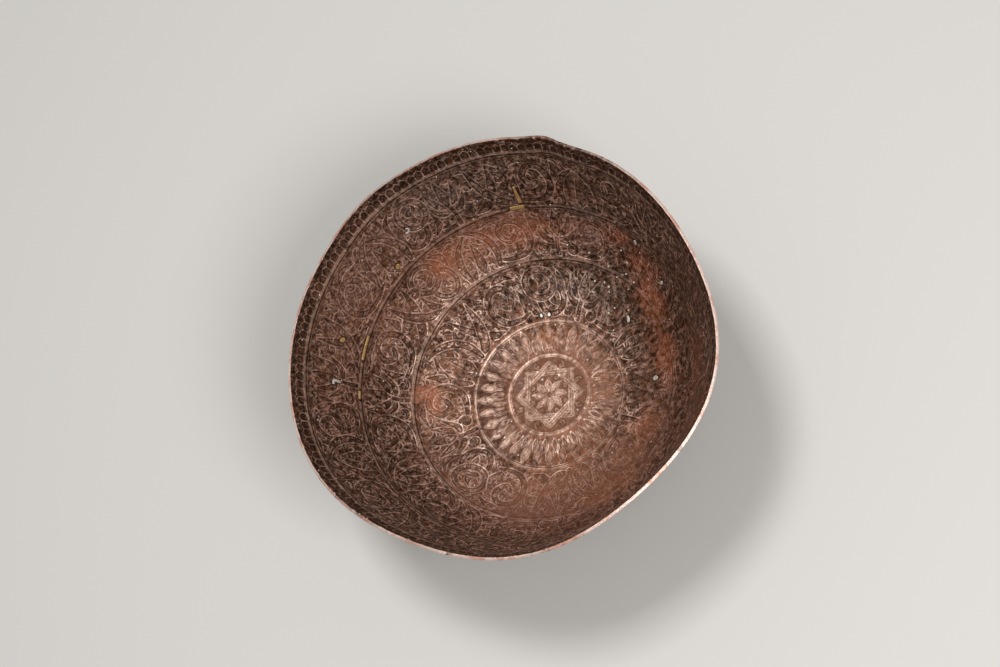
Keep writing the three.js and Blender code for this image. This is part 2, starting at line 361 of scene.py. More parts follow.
class ChasedField:
    """Grid of places on the inner face between two runs, and the marks of the tools at each.

    Attributes:
        outline: distance to the nearest edge of a recess, mm, below 0 inside it.
        depth: depth of the recess, mm.
        line: distance to the nearest fine line, mm.
        seat: distance to the edge of the nearest seat of inlay, mm, below 0 inside it.
        deep: how much dirt lies there, from 0 to 1.
        polish: how bright it is rubbed, from 0 to 1: partly bare metal, partly painted highlight.
        raised: height of what stands above the ground, mm.
    """

    def __init__(self, form: BowlForm, low: float, high: float, columns: int, spacing: float) -> None:
        """Lays out the grid.

        Args:
            form: shape of the bowl.
            low: first run, mm.
            high: last run, mm.
            columns: places round the bowl.
            spacing: distance between rows, mm.
        """
        self.form = form
        self.runs = np.linspace(low, high, max(2, round((high - low) / spacing) + 1))
        self.azimuths = np.arange(columns) * FULL_TURN / columns
        self.radii = form.section(self.runs)[0]
        shape = (len(self.runs), columns)
        self.outline = np.full(shape, FAR)
        self.depth = np.zeros(shape)
        self.line = np.full(shape, FAR)
        self.seat = np.full(shape, FAR)
        self.deep = np.zeros(shape)
        self.polish = np.zeros(shape)
        self.raised = np.zeros(shape)

    def window(self, spine: np.ndarray, reach: float) -> tuple[np.ndarray, np.ndarray, np.ndarray]:
        """Part of the grid that lies within reach of a spine.

        Args:
            spine: azimuth in radians and run in mm of each point.
            reach: distance round the spine, mm.

        Returns:
            Rows, columns, and the columns' azimuths, unbroken across azimuth 0.
        """
        low, high = spine[:, 1].min() - reach, spine[:, 1].max() + reach
        rows = np.nonzero((self.runs > low) & (self.runs < high))[0]
        if not len(rows):
            return rows, rows, np.zeros(0)
        pitch = FULL_TURN / len(self.azimuths)
        turn = reach / self.radii[rows[0]]
        first = math.floor((spine[:, 0].min() - turn) / pitch)
        last = math.ceil((spine[:, 0].max() + turn) / pitch)
        last = min(last, first + len(self.azimuths) - 1)
        columns = np.arange(first, last + 1)
        return rows, columns % len(self.azimuths), columns * pitch

    def distance(self, cut: Cut, rows: np.ndarray, azimuths: np.ndarray) -> np.ndarray:
        """Signed distance from places on the wall to the outline of a cut.

        Args:
            cut: its spine holds azimuths in radians and runs in mm.
            rows: rows of the places.
            azimuths: azimuths of the places.

        Returns:
            Distance in mm, below 0 inside the cut.
        """
        across = (cut.spine[:, 0] - azimuths[:, None]) * self.radii[rows][:, None, None]
        up = cut.spine[:, 1] - self.runs[rows][:, None, None] + np.zeros_like(across)
        return self.to_segments(across, up, cut.half)

    @staticmethod
    def to_segments(across: np.ndarray, up: np.ndarray, half: np.ndarray) -> np.ndarray:
        """Signed distance from the origin to a stroke, whose points stand in the last axis.

        Args:
            across: how far each point of the stroke lies to one side, mm.
            up: how far it lies up, mm.
            half: half width of the stroke at each point, mm.

        Returns:
            Distance in mm, below 0 inside the stroke.
        """
        ax, ay, bx, by = across[..., :-1], up[..., :-1], across[..., 1:], up[..., 1:]
        dx, dy = bx - ax, by - ay
        t = np.clip(-(ax * dx + ay * dy) / (dx * dx + dy * dy + 1e-9), 0, 1)
        gap = np.hypot(ax + t * dx, ay + t * dy) - (half[:-1] + t * (half[1:] - half[:-1]))
        return gap.min(axis=-1)

    def place(self, cut: Cut, azimuth: float, run: float, width_at: float) -> Cut:
        """Lays a motif's cut on the wall. Its width is true at the radius that width_at gives."""
        spine = np.stack([azimuth - cut.spine[:, 0] / width_at, run + cut.spine[:, 1]], -1)
        return Cut(spine, cut.half)

    def engrave(
        self, cut: Cut, depth: float, gap: float = 0.55, polish: float = 0.0, part: np.ndarray | None = None,
    ) -> None:
        """Chisels a recess over what is there, and leaves bare ground beside it.

        Args:
            cut: its spine holds azimuths in radians and runs in mm.
            depth: depth of the recess, mm.
            gap: ground kept between it and what it crosses, mm.
            polish: how bright its floor is rubbed, from 0 to 1: partly bare metal, partly painted highlight.
            part: for each column of the grid, whether it is cut. All are cut if this is left out.
        """
        rows, columns, azimuths = self.window(cut.spine, cut.half.max() + 3)
        if part is not None:
            azimuths, columns = azimuths[part[columns]], columns[part[columns]]
        if len(rows):
            self.merge(np.ix_(rows, columns), self.distance(cut, rows, azimuths), depth, gap, polish)

    def merge(
        self, here: tuple[np.ndarray, ...], new: np.ndarray, depth: float, gap: float, polish: float,
    ) -> None:
        """Joins a new outline to the grid, over the outlines that it crosses.

        Args:
            here: rows and columns of the part of the grid that it touches.
            new: distance to the new outline there, mm.
            depth: depth of the new recess, mm.
            gap: ground kept between it and what it crosses, mm.
            polish: how bright its floor is rubbed, from 0 to 1: partly bare metal, partly painted highlight.
        """
        old = self.outline[here]
        beside = np.minimum(np.abs(old), np.abs(new - gap))
        kept = np.where(old < 0, -beside, np.minimum(old, new))
        under = np.where(old < 0, np.minimum(new, gap - new), np.minimum(old, new))
        joined = np.where(new < 0, new, np.where(new < gap, under, kept))
        self.outline[here] = joined
        self.depth[here] = np.where(new < gap, depth, self.depth[here])
        self.polish[here] = np.where(new < gap, polish * smoothstep(0.1, -0.5, new), self.polish[here])

    def scratch(self, spine: np.ndarray) -> None:
        """Draws a fine raised line, which only shows on bare ground.

        Args:
            spine: azimuth in radians and run in mm of each point.
        """
        rows, columns, azimuths = self.window(spine, 1.5)
        if len(rows):
            here = np.ix_(rows, columns)
            near = self.distance(Cut(spine, np.zeros(len(spine))), rows, azimuths)
            self.line[here] = np.minimum(self.line[here], near)

    def ring(
        self, bead: float, groove: float, width: float, depth: float, soot: float, rub: np.ndarray,
    ) -> None:
        """Chisels a groove right round the bowl, and leaves a rubbed bead above it.

        Args:
            bead: run of the bead, mm.
            groove: run of the middle of the groove, mm.
            width: width of the groove, mm.
            depth: depth of the groove, mm.
            soot: how dark the groove is, from 0 to 1.
            rub: how bright the bead is rubbed and painted in each column, from 0 to 1: partly wear, partly a
                painted highlight.
        """
        new = np.abs(self.runs - groove)[:, None] - width / 2 + np.zeros_like(self.outline)
        cleared = np.abs(self.runs - bead)[:, None] - 1.0 + np.zeros_like(self.outline)
        self.outline = np.where(cleared < 0, np.maximum(self.outline, -cleared), self.outline)
        self.merge(np.ix_(range(len(self.runs)), range(len(self.azimuths))), new, depth, 0.5, 0.0)
        self.polish = np.maximum(self.polish, 0.75 * ridge(self.runs, bead, 0.42)[:, None] * rub)
        self.raised = np.maximum(self.raised, 0.14 * ridge(self.runs, bead, 0.55)[:, None])
        self.deep = np.maximum(self.deep, soot * ridge(self.runs, groove - 0.25, 0.75 * width)[:, None])

    def cut_seat(self, cut: Cut) -> None:
        """Sinks the seat of a piece of inlay.

        Args:
            cut: its spine holds azimuths in radians and runs in mm.
        """
        rows, columns, azimuths = self.window(cut.spine, cut.half.max() + 2)
        if len(rows):
            here = np.ix_(rows, columns)
            self.seat[here] = np.minimum(self.seat[here], self.distance(cut, rows, azimuths))

    def marks(self, tools: ChiselMarks, wear: np.ndarray) -> tuple[np.ndarray, dict[str, np.ndarray]]:
        """Relief and marks that all the cuts add up to.

        The material draws the fine edges from the two distances, because they are finer than the grid: bright
        and dark lines that are partly painted highlight and painted shade.

        Args:
            tools: what the tools leave.
            wear: how far the marks are rubbed down at each place, from 0 to 1; on the wall towards +X it is
                partly painted shade.

        Returns:
            The relief in mm, and the marks, from 0 to 1.
        """
        keep = 1 - 0.8 * wear
        outline = np.minimum(self.outline, self.seat)
        sunk = smoothstep(tools.wall / 2, -tools.wall / 2, self.outline)
        burr = ridge(self.outline, tools.burr_offset, tools.burr_spread)
        line = ridge(self.line, 0, tools.line_spread) * smoothstep(0.2, 0.6, np.abs(self.outline))
        relief = -self.depth * sunk * (0.4 + 0.6 * keep)
        relief += keep * (tools.burr_height * burr + tools.line_height * line)
        seated = smoothstep(0.6, 0.2, self.seat)
        relief = (relief + self.raised) * (1 - seated) - SEAT_DEPTH * seated
        return relief, {
            "outline": 0.5 + 0.5 * np.clip(outline / REACH, -1, 1),
            "line": np.clip(self.line / REACH, 0, 1),
            "deep": np.maximum(self.deep, seated),
            "polish": self.polish,
            "wear": wear,
        }


class FloorField(ChasedField):
    """The flat middle of the floor, where distances are measured straight across."""

    def window(self, spine: np.ndarray, reach: float) -> tuple[np.ndarray, np.ndarray, np.ndarray]:
        """All of the grid, because a cut may pass the middle."""
        return np.arange(len(self.runs)), np.arange(len(self.azimuths)), self.azimuths

    def distance(self, cut: Cut, rows: np.ndarray, azimuths: np.ndarray) -> np.ndarray:
        """Signed distance from places on the floor to the outline of a cut.

        Args:
            cut: its spine holds x and y in mm.
            rows: rows of the places.
            azimuths: azimuths of the places.

        Returns:
            Distance in mm, below 0 inside the cut.
        """
        x = cut.spine[:, 0] - (self.runs[rows][:, None] * np.cos(azimuths))[..., None]
        y = cut.spine[:, 1] - (self.runs[rows][:, None] * np.sin(azimuths))[..., None]
        return self.to_segments(x, y, cut.half)


@dataclass(frozen=True)
class GuideRings:
    """Five double lines that part the bands of ornament: a groove, and a bead on its upper side.

    Attributes:
        medallion_radius: first ring, mm from the middle.
        petal_band: from the first ring to the second, along the sheet, mm.
        inner_band: from the second to the third, mm.
        middle_band: from the third to the fourth, mm.
        link_border: from the fifth ring up to the lip, mm.
        beads: from each ring to its bead, along the sheet, mm.
        drops: from each bead down to the middle of its groove, mm.
        soot: how dark each groove is, from 0 to 1.
        widths: width of each groove, mm.
        depth: depth of a groove, mm.
        margin: from a ring to the ornament on either side, mm.
        rub_and_highlight_side: azimuth at which the beads are rubbed and painted brightest, degrees: partly
            wear, partly a painted highlight.
    """

    medallion_radius: float = 18.9
    petal_band: float = 15.6
    inner_band: float = 27.3
    middle_band: float = 30.0
    link_border: float = 9.1
    beads: tuple[float, ...] = (-0.15, -0.15, 1.15, 0.25, 0.8)
    soot: tuple[float, ...] = (0.2, 0.25, 0.7, 0.75, 0.7)
    drops: tuple[float, ...] = (0.65, 0.7, 1.0, 1.2, 1.1)
    widths: tuple[float, ...] = (0.5, 0.55, 0.8, 1.0, 0.9)
    depth: float = 0.1
    margin: float = 1.7
    rub_and_highlight_side: float = 165.0

    def runs(self, form: BowlForm) -> list[float]:
        """Runs of the five rings.

        Args:
            form: shape of the bowl.

        Returns:
            The runs in mm, from the medallion out to the lip.
        """
        petal = self.medallion_radius + self.petal_band
        inner = petal + self.inner_band
        middle = inner + self.middle_band
        return [self.medallion_radius, petal, inner, middle, form.lip_run - self.link_border]

    def chase(self, fields: Sequence[ChasedField], form: BowlForm) -> None:
        """Cuts the rings into every field that they touch.

        Args:
            fields: the zones of the inner face.
            form: shape of the bowl.
        """
        for ground in fields:
            # Beads brighter towards rub_and_highlight_side: partly wear, partly painted highlight.
            rub = 0.65 + 0.35 * np.cos(ground.azimuths - math.radians(self.rub_and_highlight_side))
            for run, *ring in zip(self.runs(form), self.beads, self.drops, self.widths, self.soot):
                bead, drop, width, soot = ring
                if ground.runs[0] - 3 < run < ground.runs[-1] + 3:
                    ground.ring(run + bead, run + bead - drop, width, self.depth, soot, rub)


@dataclass(frozen=True)
class Medallion:
    """Eight-pointed star of two woven straps round a knot, on a ground of curls.

    Attributes:
        reach: corners of the straps, mm from the middle.
        strap: width of a strap, mm.
        depth: depth of the cuts, mm.
        knot_reach: reach of the knot's eight leaves, mm.
        ground_radius: radius of the ground, mm.
        soot: how dark the ground is, from 0 to 1.
    """

    reach: float = 15.6
    strap: float = 1.9
    depth: float = 0.22
    knot_reach: float = 7.6
    ground_radius: float = 17.2
    soot: float = 0.6

    def strap_cut(self, turn: float) -> Cut:
        """One square strap, turned about the middle.

        Args:
            turn: direction of its first corner, in radians.

        Returns:
            The cut, with x and y in its spine.
        """
        centre = self.reach - self.strap / math.sqrt(2)
        angles = turn + np.arange(5) * FULL_TURN / 4
        spine = np.stack([centre * np.cos(angles), centre * np.sin(angles)], -1)
        return Cut(spine, np.full(5, self.strap / 2))

    def chase(self, ground: FloorField) -> None:
        """Draws the curls, then cuts the knot and the two straps.

        Args:
            ground: field that holds the middle of the floor.
        """
        for i in range(8):
            angle = FULL_TURN * (i + 0.5) / 8
            for reach, size in ((14.4, 1.6), (11.0, 1.8), (8.2, 1.3)):
                middle = (reach * math.cos(angle), reach * math.sin(angle))
                ground.scratch(spiral(middle, size, 0.85, angle, 1 - 2 * (i % 2)))
        # The knot's leaves are polished bright: partly wear, partly painted highlight.
        for i in range(8):
            angle = FULL_TURN * i / 8
            tip = np.array([math.cos(angle), math.sin(angle)])
            side = np.array([-tip[1], tip[0]])
            leaf = curve([2.2 * tip, 4.6 * tip + 0.5 * side, self.knot_reach * tip])
            ground.engrave(Cut(leaf, widths(len(leaf), 0.3, 1.3, 0.1)), self.depth, polish=0.75)
        boss = curve([(0.9, 0), (0, 0.9), (-0.9, 0), (0, -0.9), (0.9, 0)], 4)
        ground.engrave(Cut(boss, np.full(len(boss), 0.45)), self.depth)
        self.weave(ground)
        inside = (ground.runs < self.ground_radius)[:, None]
        ground.deep = np.maximum(ground.deep, self.soot * inside * smoothstep(0.15, 0.6, ground.outline))

    def weave(self, ground: FloorField) -> None:
        """Cuts the two straps, which lie over each other in turn: eighth by eighth of the floor.

        Args:
            ground: field that holds the middle of the floor.
        """
        square, diamond = self.strap_cut(0), self.strap_cut(FULL_TURN / 8)
        square_over = np.floor(ground.azimuths / FULL_TURN * 8) % 2 == 0
        # The straps are polished bright: partly wear, partly painted highlight.
        for first, second, part in ((diamond, square, square_over), (square, diamond, ~square_over)):
            ground.engrave(first, self.depth, polish=0.7, part=part)
            ground.engrave(second, self.depth, polish=0.7, part=part)


@dataclass(frozen=True)
class Rosette:
    """Ring of leaves that reach in from the outer ring, with buds between their stalks.

    Attributes:
        petals: number of leaves, and of buds.
        leaf_length: length of a leaf, mm.
        leaf_width: width of a leaf, mm.
        bud_length: length of a bud, mm.
        bud_width: width of a bud, mm.
        depth: depth of the cuts, mm.
        rub_and_highlight_side: azimuth at which the leaves are rubbed and painted brightest, degrees: partly
            wear, partly a painted highlight.
        soot: how dark the ground is there, from 0 to 1.
    """

    petals: int = 32
    leaf_length: float = 11.0
    leaf_width: float = 3.6
    bud_length: float = 6.0
    bud_width: float = 1.9
    depth: float = 0.24
    rub_and_highlight_side: float = 185.0
    soot: float = 0.8

    def chase(self, ground: ChasedField, rings: GuideRings, rng: np.random.Generator) -> None:
        """Cuts the leaves and the buds between the first two rings.

        Args:
            ground: field between the first two rings.
            rings: guide rings, which the leaves and buds stand on.
            rng: source of the small slips of the hand.
        """
        inner, outer = rings.runs(ground.form)[:2]
        leaf_start = outer - rings.margin - self.leaf_length
        bud_start = inner + rings.margin
        leaf_half = widths(13, 0.12, 0.2, 0.34, 0.9, 1.0, 0.6, 0.05) * self.leaf_width / 2
        bud_half = widths(9, 0.1, 0.75, 1.0, 0.75, 0.1) * self.bud_width / 2
        for i in range(self.petals):
            azimuth = FULL_TURN * i / self.petals
            slip = rng.normal(0, 0.006, 2)
            size = rng.uniform(0.9, 1.06, 2)
            runs = leaf_start + np.linspace(0, self.leaf_length, 13)
            lean = azimuth + slip[0] * np.linspace(0, 1, 13)
            # Leaves towards rub_and_highlight_side are painted brightest: partly polish, partly painted
            # highlight.
            rubbed = 0.5 + 0.5 * math.cos(azimuth - math.radians(self.rub_and_highlight_side))
            bright = 0.15 + 0.85 * rubbed**2 * rng.uniform(0.6, 1.0)
            ground.engrave(Cut(np.stack([lean, runs], -1), leaf_half * size[0]), self.depth, 0.3, bright)
            runs = bud_start + np.linspace(0, self.bud_length, 9)
            between = azimuth + FULL_TURN / self.petals / 2 + slip[1] * np.linspace(0, 1, 9)
            bud = Cut(np.stack([between, runs], -1), bud_half * size[1])
            ground.engrave(bud, self.depth, 0.3, 0.6 * bright)
        # The ground between the leaves is darkened most on the same side.
        rubbed = 0.5 + 0.5 * np.cos(ground.azimuths - math.radians(self.rub_and_highlight_side))
        inside = (ground.runs > bud_start - 0.5) & (ground.runs < outer - rings.margin + 0.5)
        dark = self.soot * rubbed**4 * inside[:, None] * smoothstep(0.05, 0.4, ground.outline)
        ground.deep = np.maximum(ground.deep, dark)


@dataclass(frozen=True)
class Room:
    """Room for one motif: half its width and its height, mm."""

    half_width: float
    height: float

    def path(self, corners: Sequence[tuple[float, float]], *stops: float) -> Cut:
        """Cut along a curve, whose corners are shares of the room. The stops are half widths in mm."""
        spine = curve([(x * self.half_width, y * self.height) for x, y in corners])
        return Cut(spine, widths(len(spine), *stops))

    def curl(self, at: tuple[float, float], reach: float, turns: float, start: float, hand: int) -> Cut:
        """Curled tendril that thins towards its eye."""
        spine = spiral((at[0] * self.half_width, at[1] * self.height), reach, turns, start, hand)
        return Cut(spine, widths(len(spine), 0.7, 0.95, 0.95, 0.6))


def lancet(room: Room) -> list[Cut]:
    """Pointed arch of two blades that cross at the top, over a bud.

    Args:
        room: room for the figure.

    Returns:
        Its cuts, in the order in which they lie over each other.
    """
    bud = room.path([(0.03, 0.03), (-0.04, 0.3), (0.03, 0.68)], 0.6, 2.7, 1.9, 0.15)
    left = [(-0.8, 0.03), (-0.88, 0.32), (-0.62, 0.64), (-0.12, 0.87), (0.26, 0.94)]
    right = [(-x, y) for x, y in left[:-1]]
    return [
        bud,
        room.path(right, 1.0, 1.75, 1.7, 1.2, 0.5),
        room.path(left, 1.0, 1.8, 1.75, 1.3, 0.5),
    ]


def vine(room: Room) -> list[Cut]:
    """Vine that winds in on itself, with a leaf at each bend.

    Args:
        room: room for the figure.

    Returns:
        Its cuts, in the order in which they lie over each other.
    """
    stem = [
        (-1.0, 0.14), (-0.4, 0.08), (0.36, 0.14), (0.7, 0.42), (0.44, 0.74),
        (-0.12, 0.82), (-0.46, 0.6), (-0.2, 0.4), (0.1, 0.48),
    ]
    outer_leaf = room.path([(0.7, 0.44), (0.98, 0.62), (0.9, 0.94)], 0.3, 1.9, 0.15)
    top_leaf = room.path([(0.1, 0.86), (-0.4, 0.97), (-0.94, 0.86)], 0.3, 1.7, 0.15)
    foot_leaf = room.path([(-0.76, 0.16), (-0.94, 0.4), (-0.8, 0.66)], 0.3, 1.8, 0.15)
    return [outer_leaf, top_leaf, foot_leaf, room.path(stem, 0.6, 1.5, 1.6, 1.5, 1.2)]


def palmette(room: Room) -> list[Cut]:
    """Stem that opens into five leaves, with a curl on either side.

    Args:
        room: room for the figure.

    Returns:
        Its cuts, in the order in which they lie over each other.
    """
    side = room.path([(0.05, 0.4), (0.42, 0.54), (0.62, 0.88)], 0.3, 1.9, 1.4, 0.15)
    low = room.path([(0.04, 0.28), (0.48, 0.34), (0.9, 0.62)], 0.3, 1.6, 1.2, 0.15)
    curl = room.curl((0.62, 0.15), 2.9, 1.2, math.pi / 2, -1)
    middle = room.path([(0.0, 0.4), (0.03, 0.66), (0.0, 0.97)], 0.4, 2.4, 1.7, 0.15)
    stem = room.path([(0.0, 0.0), (0.05, 0.22), (0.0, 0.46)], 1.2, 0.9, 1.0)
    return [curl, curl.mirrored(), low, low.mirrored(), side, side.mirrored(), stem, middle]


def interlace(room: Room) -> list[Cut]:
    """Two loops, one over the other, with a leaf in each corner.

    Args:
        room: room for the figure.

    Returns:
        Its cuts, in the order in which they lie over each other.
    """
    def loop(x: float, y: float) -> Cut:
        """Closed loop round a middle.

        Args:
            x: its middle, as a share of the half width.
            y: its middle, as a share of the height.

        Returns:
            The cut.
        """
        angles = FULL_TURN * np.linspace(0, 1, 26)
        corners = np.stack([
            (x + 0.58 * np.cos(angles)) * room.half_width,
            (y + 0.28 * np.sin(angles)) * room.height,
        ], -1)
        return Cut(corners, np.full(len(corners), 1.35))

    leaf = room.path([(-0.5, 0.04), (-0.88, 0.2), (-0.9, 0.5)], 0.3, 1.6, 0.15)
    tip = room.path([(0.5, 0.96), (0.9, 0.8), (0.92, 0.5)], 0.3, 1.6, 0.15)
    low_bud = room.path([(0.42, 0.22), (0.28, 0.32), (0.3, 0.44)], 0.2, 1.5, 0.15)
    high_bud = room.path([(-0.4, 0.8), (-0.16, 0.7), (-0.3, 0.56)], 0.2, 1.6, 0.15)
    return [leaf, tip, low_bud, high_bud, loop(0.22, 0.34), loop(-0.22, 0.66)]


def blades(room: Room) -> list[Cut]:
    """Two long curved leaves that cross, with a curl in the crook of each.

    Args:
        room: room for the figure.

    Returns:
        Its cuts, in the order in which they lie over each other.
    """
    rising = [(-0.9, 0.04), (-0.3, 0.14), (0.22, 0.48), (0.44, 0.95)]
    falling = [(-x, y) for x, y in rising]
    curl = room.curl((-0.6, 0.62), 3.2, 1.25, 0.0, 1)
    return [
        curl, curl.mirrored(),
        room.path(falling, 0.5, 2.1, 2.3, 1.6, 0.2),
        room.path(rising, 0.5, 2.1, 2.3, 1.6, 0.2),
    ]


class Motif(Enum):
    """Figures of the wide bands."""

    LANCET = "lancet"
    VINE = "vine"
    PALMETTE = "palmette"
    INTERLACE = "interlace"
    BLADES = "blades"

    def cuts(self, room: Room) -> list[Cut]:
        """Cuts of the figure, in the order in which they lie over each other."""
        return FIGURES[self](room)


FIGURES: dict[Motif, Callable[[Room], list[Cut]]] = {
    Motif.LANCET: lancet,
    Motif.VINE: vine,
    Motif.PALMETTE: palmette,
    Motif.INTERLACE: interlace,
    Motif.BLADES: blades,
}


@dataclass(frozen=True)
class ScrollBand:
    """Wide band of figures on a ground of fine curls.

    Attributes:
        low: guide ring below the band, by number.
        high: guide ring above it.
        figures: number of figures round the bowl.
        order: figures in turn. Every second one is mirrored.
        depth: depth of the figures' cuts, mm.
        curl_pitch: distance between the curls of the ground, mm.
        curl_reach: radius of a curl, mm.
        sprig_pitch: distance between the small leaves of the ground, mm.
        overlap: how far a figure reaches into its neighbour's room, as a share.
    """

    low: int
    high: int
    figures: int
    order: tuple[Motif, ...]
    depth: float = 0.2
    curl_pitch: float = 3.3
    curl_reach: float = 1.5
    sprig_pitch: float = 7.0
    overlap: float = 1.12

    def chase(self, ground: ChasedField, rings: GuideRings, rng: np.random.Generator) -> None:
        """Draws the curls and then cuts the figures.

        Args:
            ground: field that holds the band.
            rings: guide rings beside the band.
            rng: source of the small slips of the hand.
        """
        runs = rings.runs(ground.form)
        low = runs[self.low] + rings.margin
        high = runs[self.high] - rings.margin
        middle = float(ground.form.section((low + high) / 2)[0])
        self.chase_curls(ground, low, high, rng)
        self.chase_sprigs(ground, low, high, rng)
        room = Room(self.overlap * math.pi * middle / self.figures, high - low)
        for i in range(self.figures):
            motif = self.order[i % len(self.order)]
            azimuth = FULL_TURN * (i + rng.uniform(-0.08, 0.08)) / self.figures
            stretch = np.array([rng.uniform(0.94, 1.06), rng.uniform(0.95, 1.0)])
            slant = rng.uniform(-0.07, 0.07)
            for cut in motif.cuts(room):
                made = cut.mirrored() if i % 2 else cut
                spine = made.spine * stretch
                spine[:, 0] += slant * spine[:, 1]
                spine += rng.normal(0, 0.12, 2)
                half = made.half * rng.uniform(0.88, 1.08)
                ground.engrave(ground.place(Cut(spine, half), azimuth, low, middle), self.depth)

    def chase_curls(self, ground: ChasedField, low: float, high: float, rng: np.random.Generator) -> None:
        """Covers the ground between two runs with rows of small curls.

        Args:
            ground: field that holds the band.
            low: first run, mm.
            high: last run, mm.
            rng: source of their places and sizes.
        """
        rows = round((high - low) / (0.9 * self.curl_pitch))
        for row in range(rows):
            run = low + (row + 0.5) * (high - low) / rows
            radius = float(ground.form.section(run)[0])
            count = round(FULL_TURN * radius / self.curl_pitch)
            for i in range(count):
                azimuth = FULL_TURN * (i + 0.5 * (row % 2) + rng.uniform(-0.2, 0.2)) / count
                middle = (0.0, rng.uniform(-0.4, 0.4))
                curl = spiral(middle, self.curl_reach * rng.uniform(0.8, 1.2), rng.uniform(0.5, 0.95),
                              rng.uniform(0, FULL_TURN), 1 if rng.random() < 0.5 else -1)
                ground.scratch(ground.place(Cut(curl, curl[:, 0]), azimuth, run, radius).spine)

    def chase_sprigs(self, ground: ChasedField, low: float, high: float, rng: np.random.Generator) -> None:
        """Scatters small curved leaves over the ground, under the figures.

        Args:
            ground: field that holds the band.
            low: first run, mm.
            high: last run, mm.
            rng: source of their places and sizes.
        """
        rows = round((high - low) / self.sprig_pitch)
        for row in range(rows):
            run = low + (row + 0.5) * (high - low) / rows
            radius = float(ground.form.section(run)[0])
            count = round(FULL_TURN * radius / self.sprig_pitch)
            for i in range(count):
                azimuth = FULL_TURN * (i + 0.5 * (row % 2) + rng.uniform(-0.25, 0.25)) / count
                angle, bend = rng.uniform(0, FULL_TURN), rng.uniform(0.6, 1.3) * rng.choice((-1, 1))
                tip = np.array([math.cos(angle), math.sin(angle)]) * rng.uniform(1.6, 2.5)
                side = np.array([-tip[1], tip[0]]) * bend * 0.45
                leaf = curve([tuple(-tip), tuple(side), tuple(tip)], 5)
                leaf[:, 1] = np.clip(leaf[:, 1] + run, low + 0.8, high - 0.8) - run
                made = Cut(leaf, widths(len(leaf), 0.15, 0.55, 0.8, 0.1))
                ground.engrave(ground.place(made, azimuth, run, radius), 0.8 * self.depth, 0.4)


@dataclass(frozen=True)
class LinkBorder:
    """Arcade of fine forked bars under the lip, with a sunk cell between each two.

    Attributes:
        links: number of cells round the bowl.
        foot: from the guide ring to the foot of the bars, mm.
        bar: from the foot up to where a bar forks, mm.
        fork: from there to where the forks of two bars meet, mm.
        half_line: half width of a bar, mm.
        depth: depth of a cell, mm.
    """

    links: int = 150
    foot: float = 1.4
    bar: float = 3.4
    fork: float = 1.6
    half_line: float = 0.24
    depth: float = 0.2

    def chase(self, ground: ChasedField, rings: GuideRings, rng: np.random.Generator) -> None:
        """Punches the cells in a row above the last guide ring.

        Args:
            ground: field that reaches up to the lip.
            rings: guide rings, the last of which the bars stand on.
            rng: source of the small slips of the hand.
        """
        foot = rings.runs(ground.form)[-1] + self.foot
        rows = np.nonzero(ground.runs > foot - 1.2)[0]
        runs = ground.runs[rows][:, None]
        radii = ground.radii[rows][:, None]
        slips = rng.uniform(-0.05, 0.05, self.links)
        lift = rng.uniform(-0.25, 0.25, self.links)
        place = ground.azimuths * self.links / FULL_TURN
        near = np.full((len(rows), len(place)), FAR)
        nearest = np.floor(place + 0.5).astype(int)
        for step in (-1, 0, 1):
            number = (nearest + step) % self.links
            away = (place - nearest - step - slips[number]) * FULL_TURN / self.links * radii
            above = np.maximum(runs - foot - self.bar - lift[number], 0)
            near = np.minimum(near, np.hypot(away, above))
        share = np.abs((place - slips[nearest % self.links]) % 1 - 0.5) * 2
        roof = foot + self.bar + self.fork * (1 - share) + lift[nearest % self.links]
        near = np.minimum(near, np.abs(runs - roof) * 0.75)
        inside = (runs < roof) & (runs > foot - 0.3)
        here = np.ix_(rows, range(len(place)))
        new = np.where(inside, self.half_line - near, self.half_line + near)
        new = np.where(runs > foot, new, np.maximum(new, foot - runs + 0.7))
        taken = np.where(new < ground.outline[here], new, ground.outline[here])
        ground.outline[here] = taken
        ground.depth[here] = np.where(new < 0.3, self.depth, ground.depth[here])
        ground.deep[here] = np.maximum(ground.deep[here], 0.7 * inside * smoothstep(0.1, -0.25, new))


class Stain(Enum):
    """What age has left on patches of the brass, and painted light, by the name of the mark that it is kept
    in: the pale patches are partly painted light, the flecks painted glints.
    """

    COPPER = "copper"
    PALE = "pale"
    GREY = "grey"
    ORANGE = "orange"
    FLECKS = "flecks"


@dataclass(frozen=True)
class Patch:
    """Soft patch of one stain on the inner face.

    Attributes:
        stain: what it is a patch of.
        run: run of its middle, mm.
        azimuth: azimuth of its middle, degrees.
        up: how far it spreads along the run, mm.
        around: how far it spreads round the bowl, degrees.
        strength: its strength at the middle. Above 1 it is full over a wider patch.
    """

    stain: Stain
    run: float
    azimuth: float
    up: float
    around: float
    strength: float

    def spread(self, run: np.ndarray, azimuth: np.ndarray) -> np.ndarray:
        """Strength of the patch at places given by run in mm and azimuth in degrees."""
        round_bowl = ridge(turned(azimuth, self.azimuth), 0, self.around)
        return self.strength * ridge(run, self.run, self.up) * round_bowl


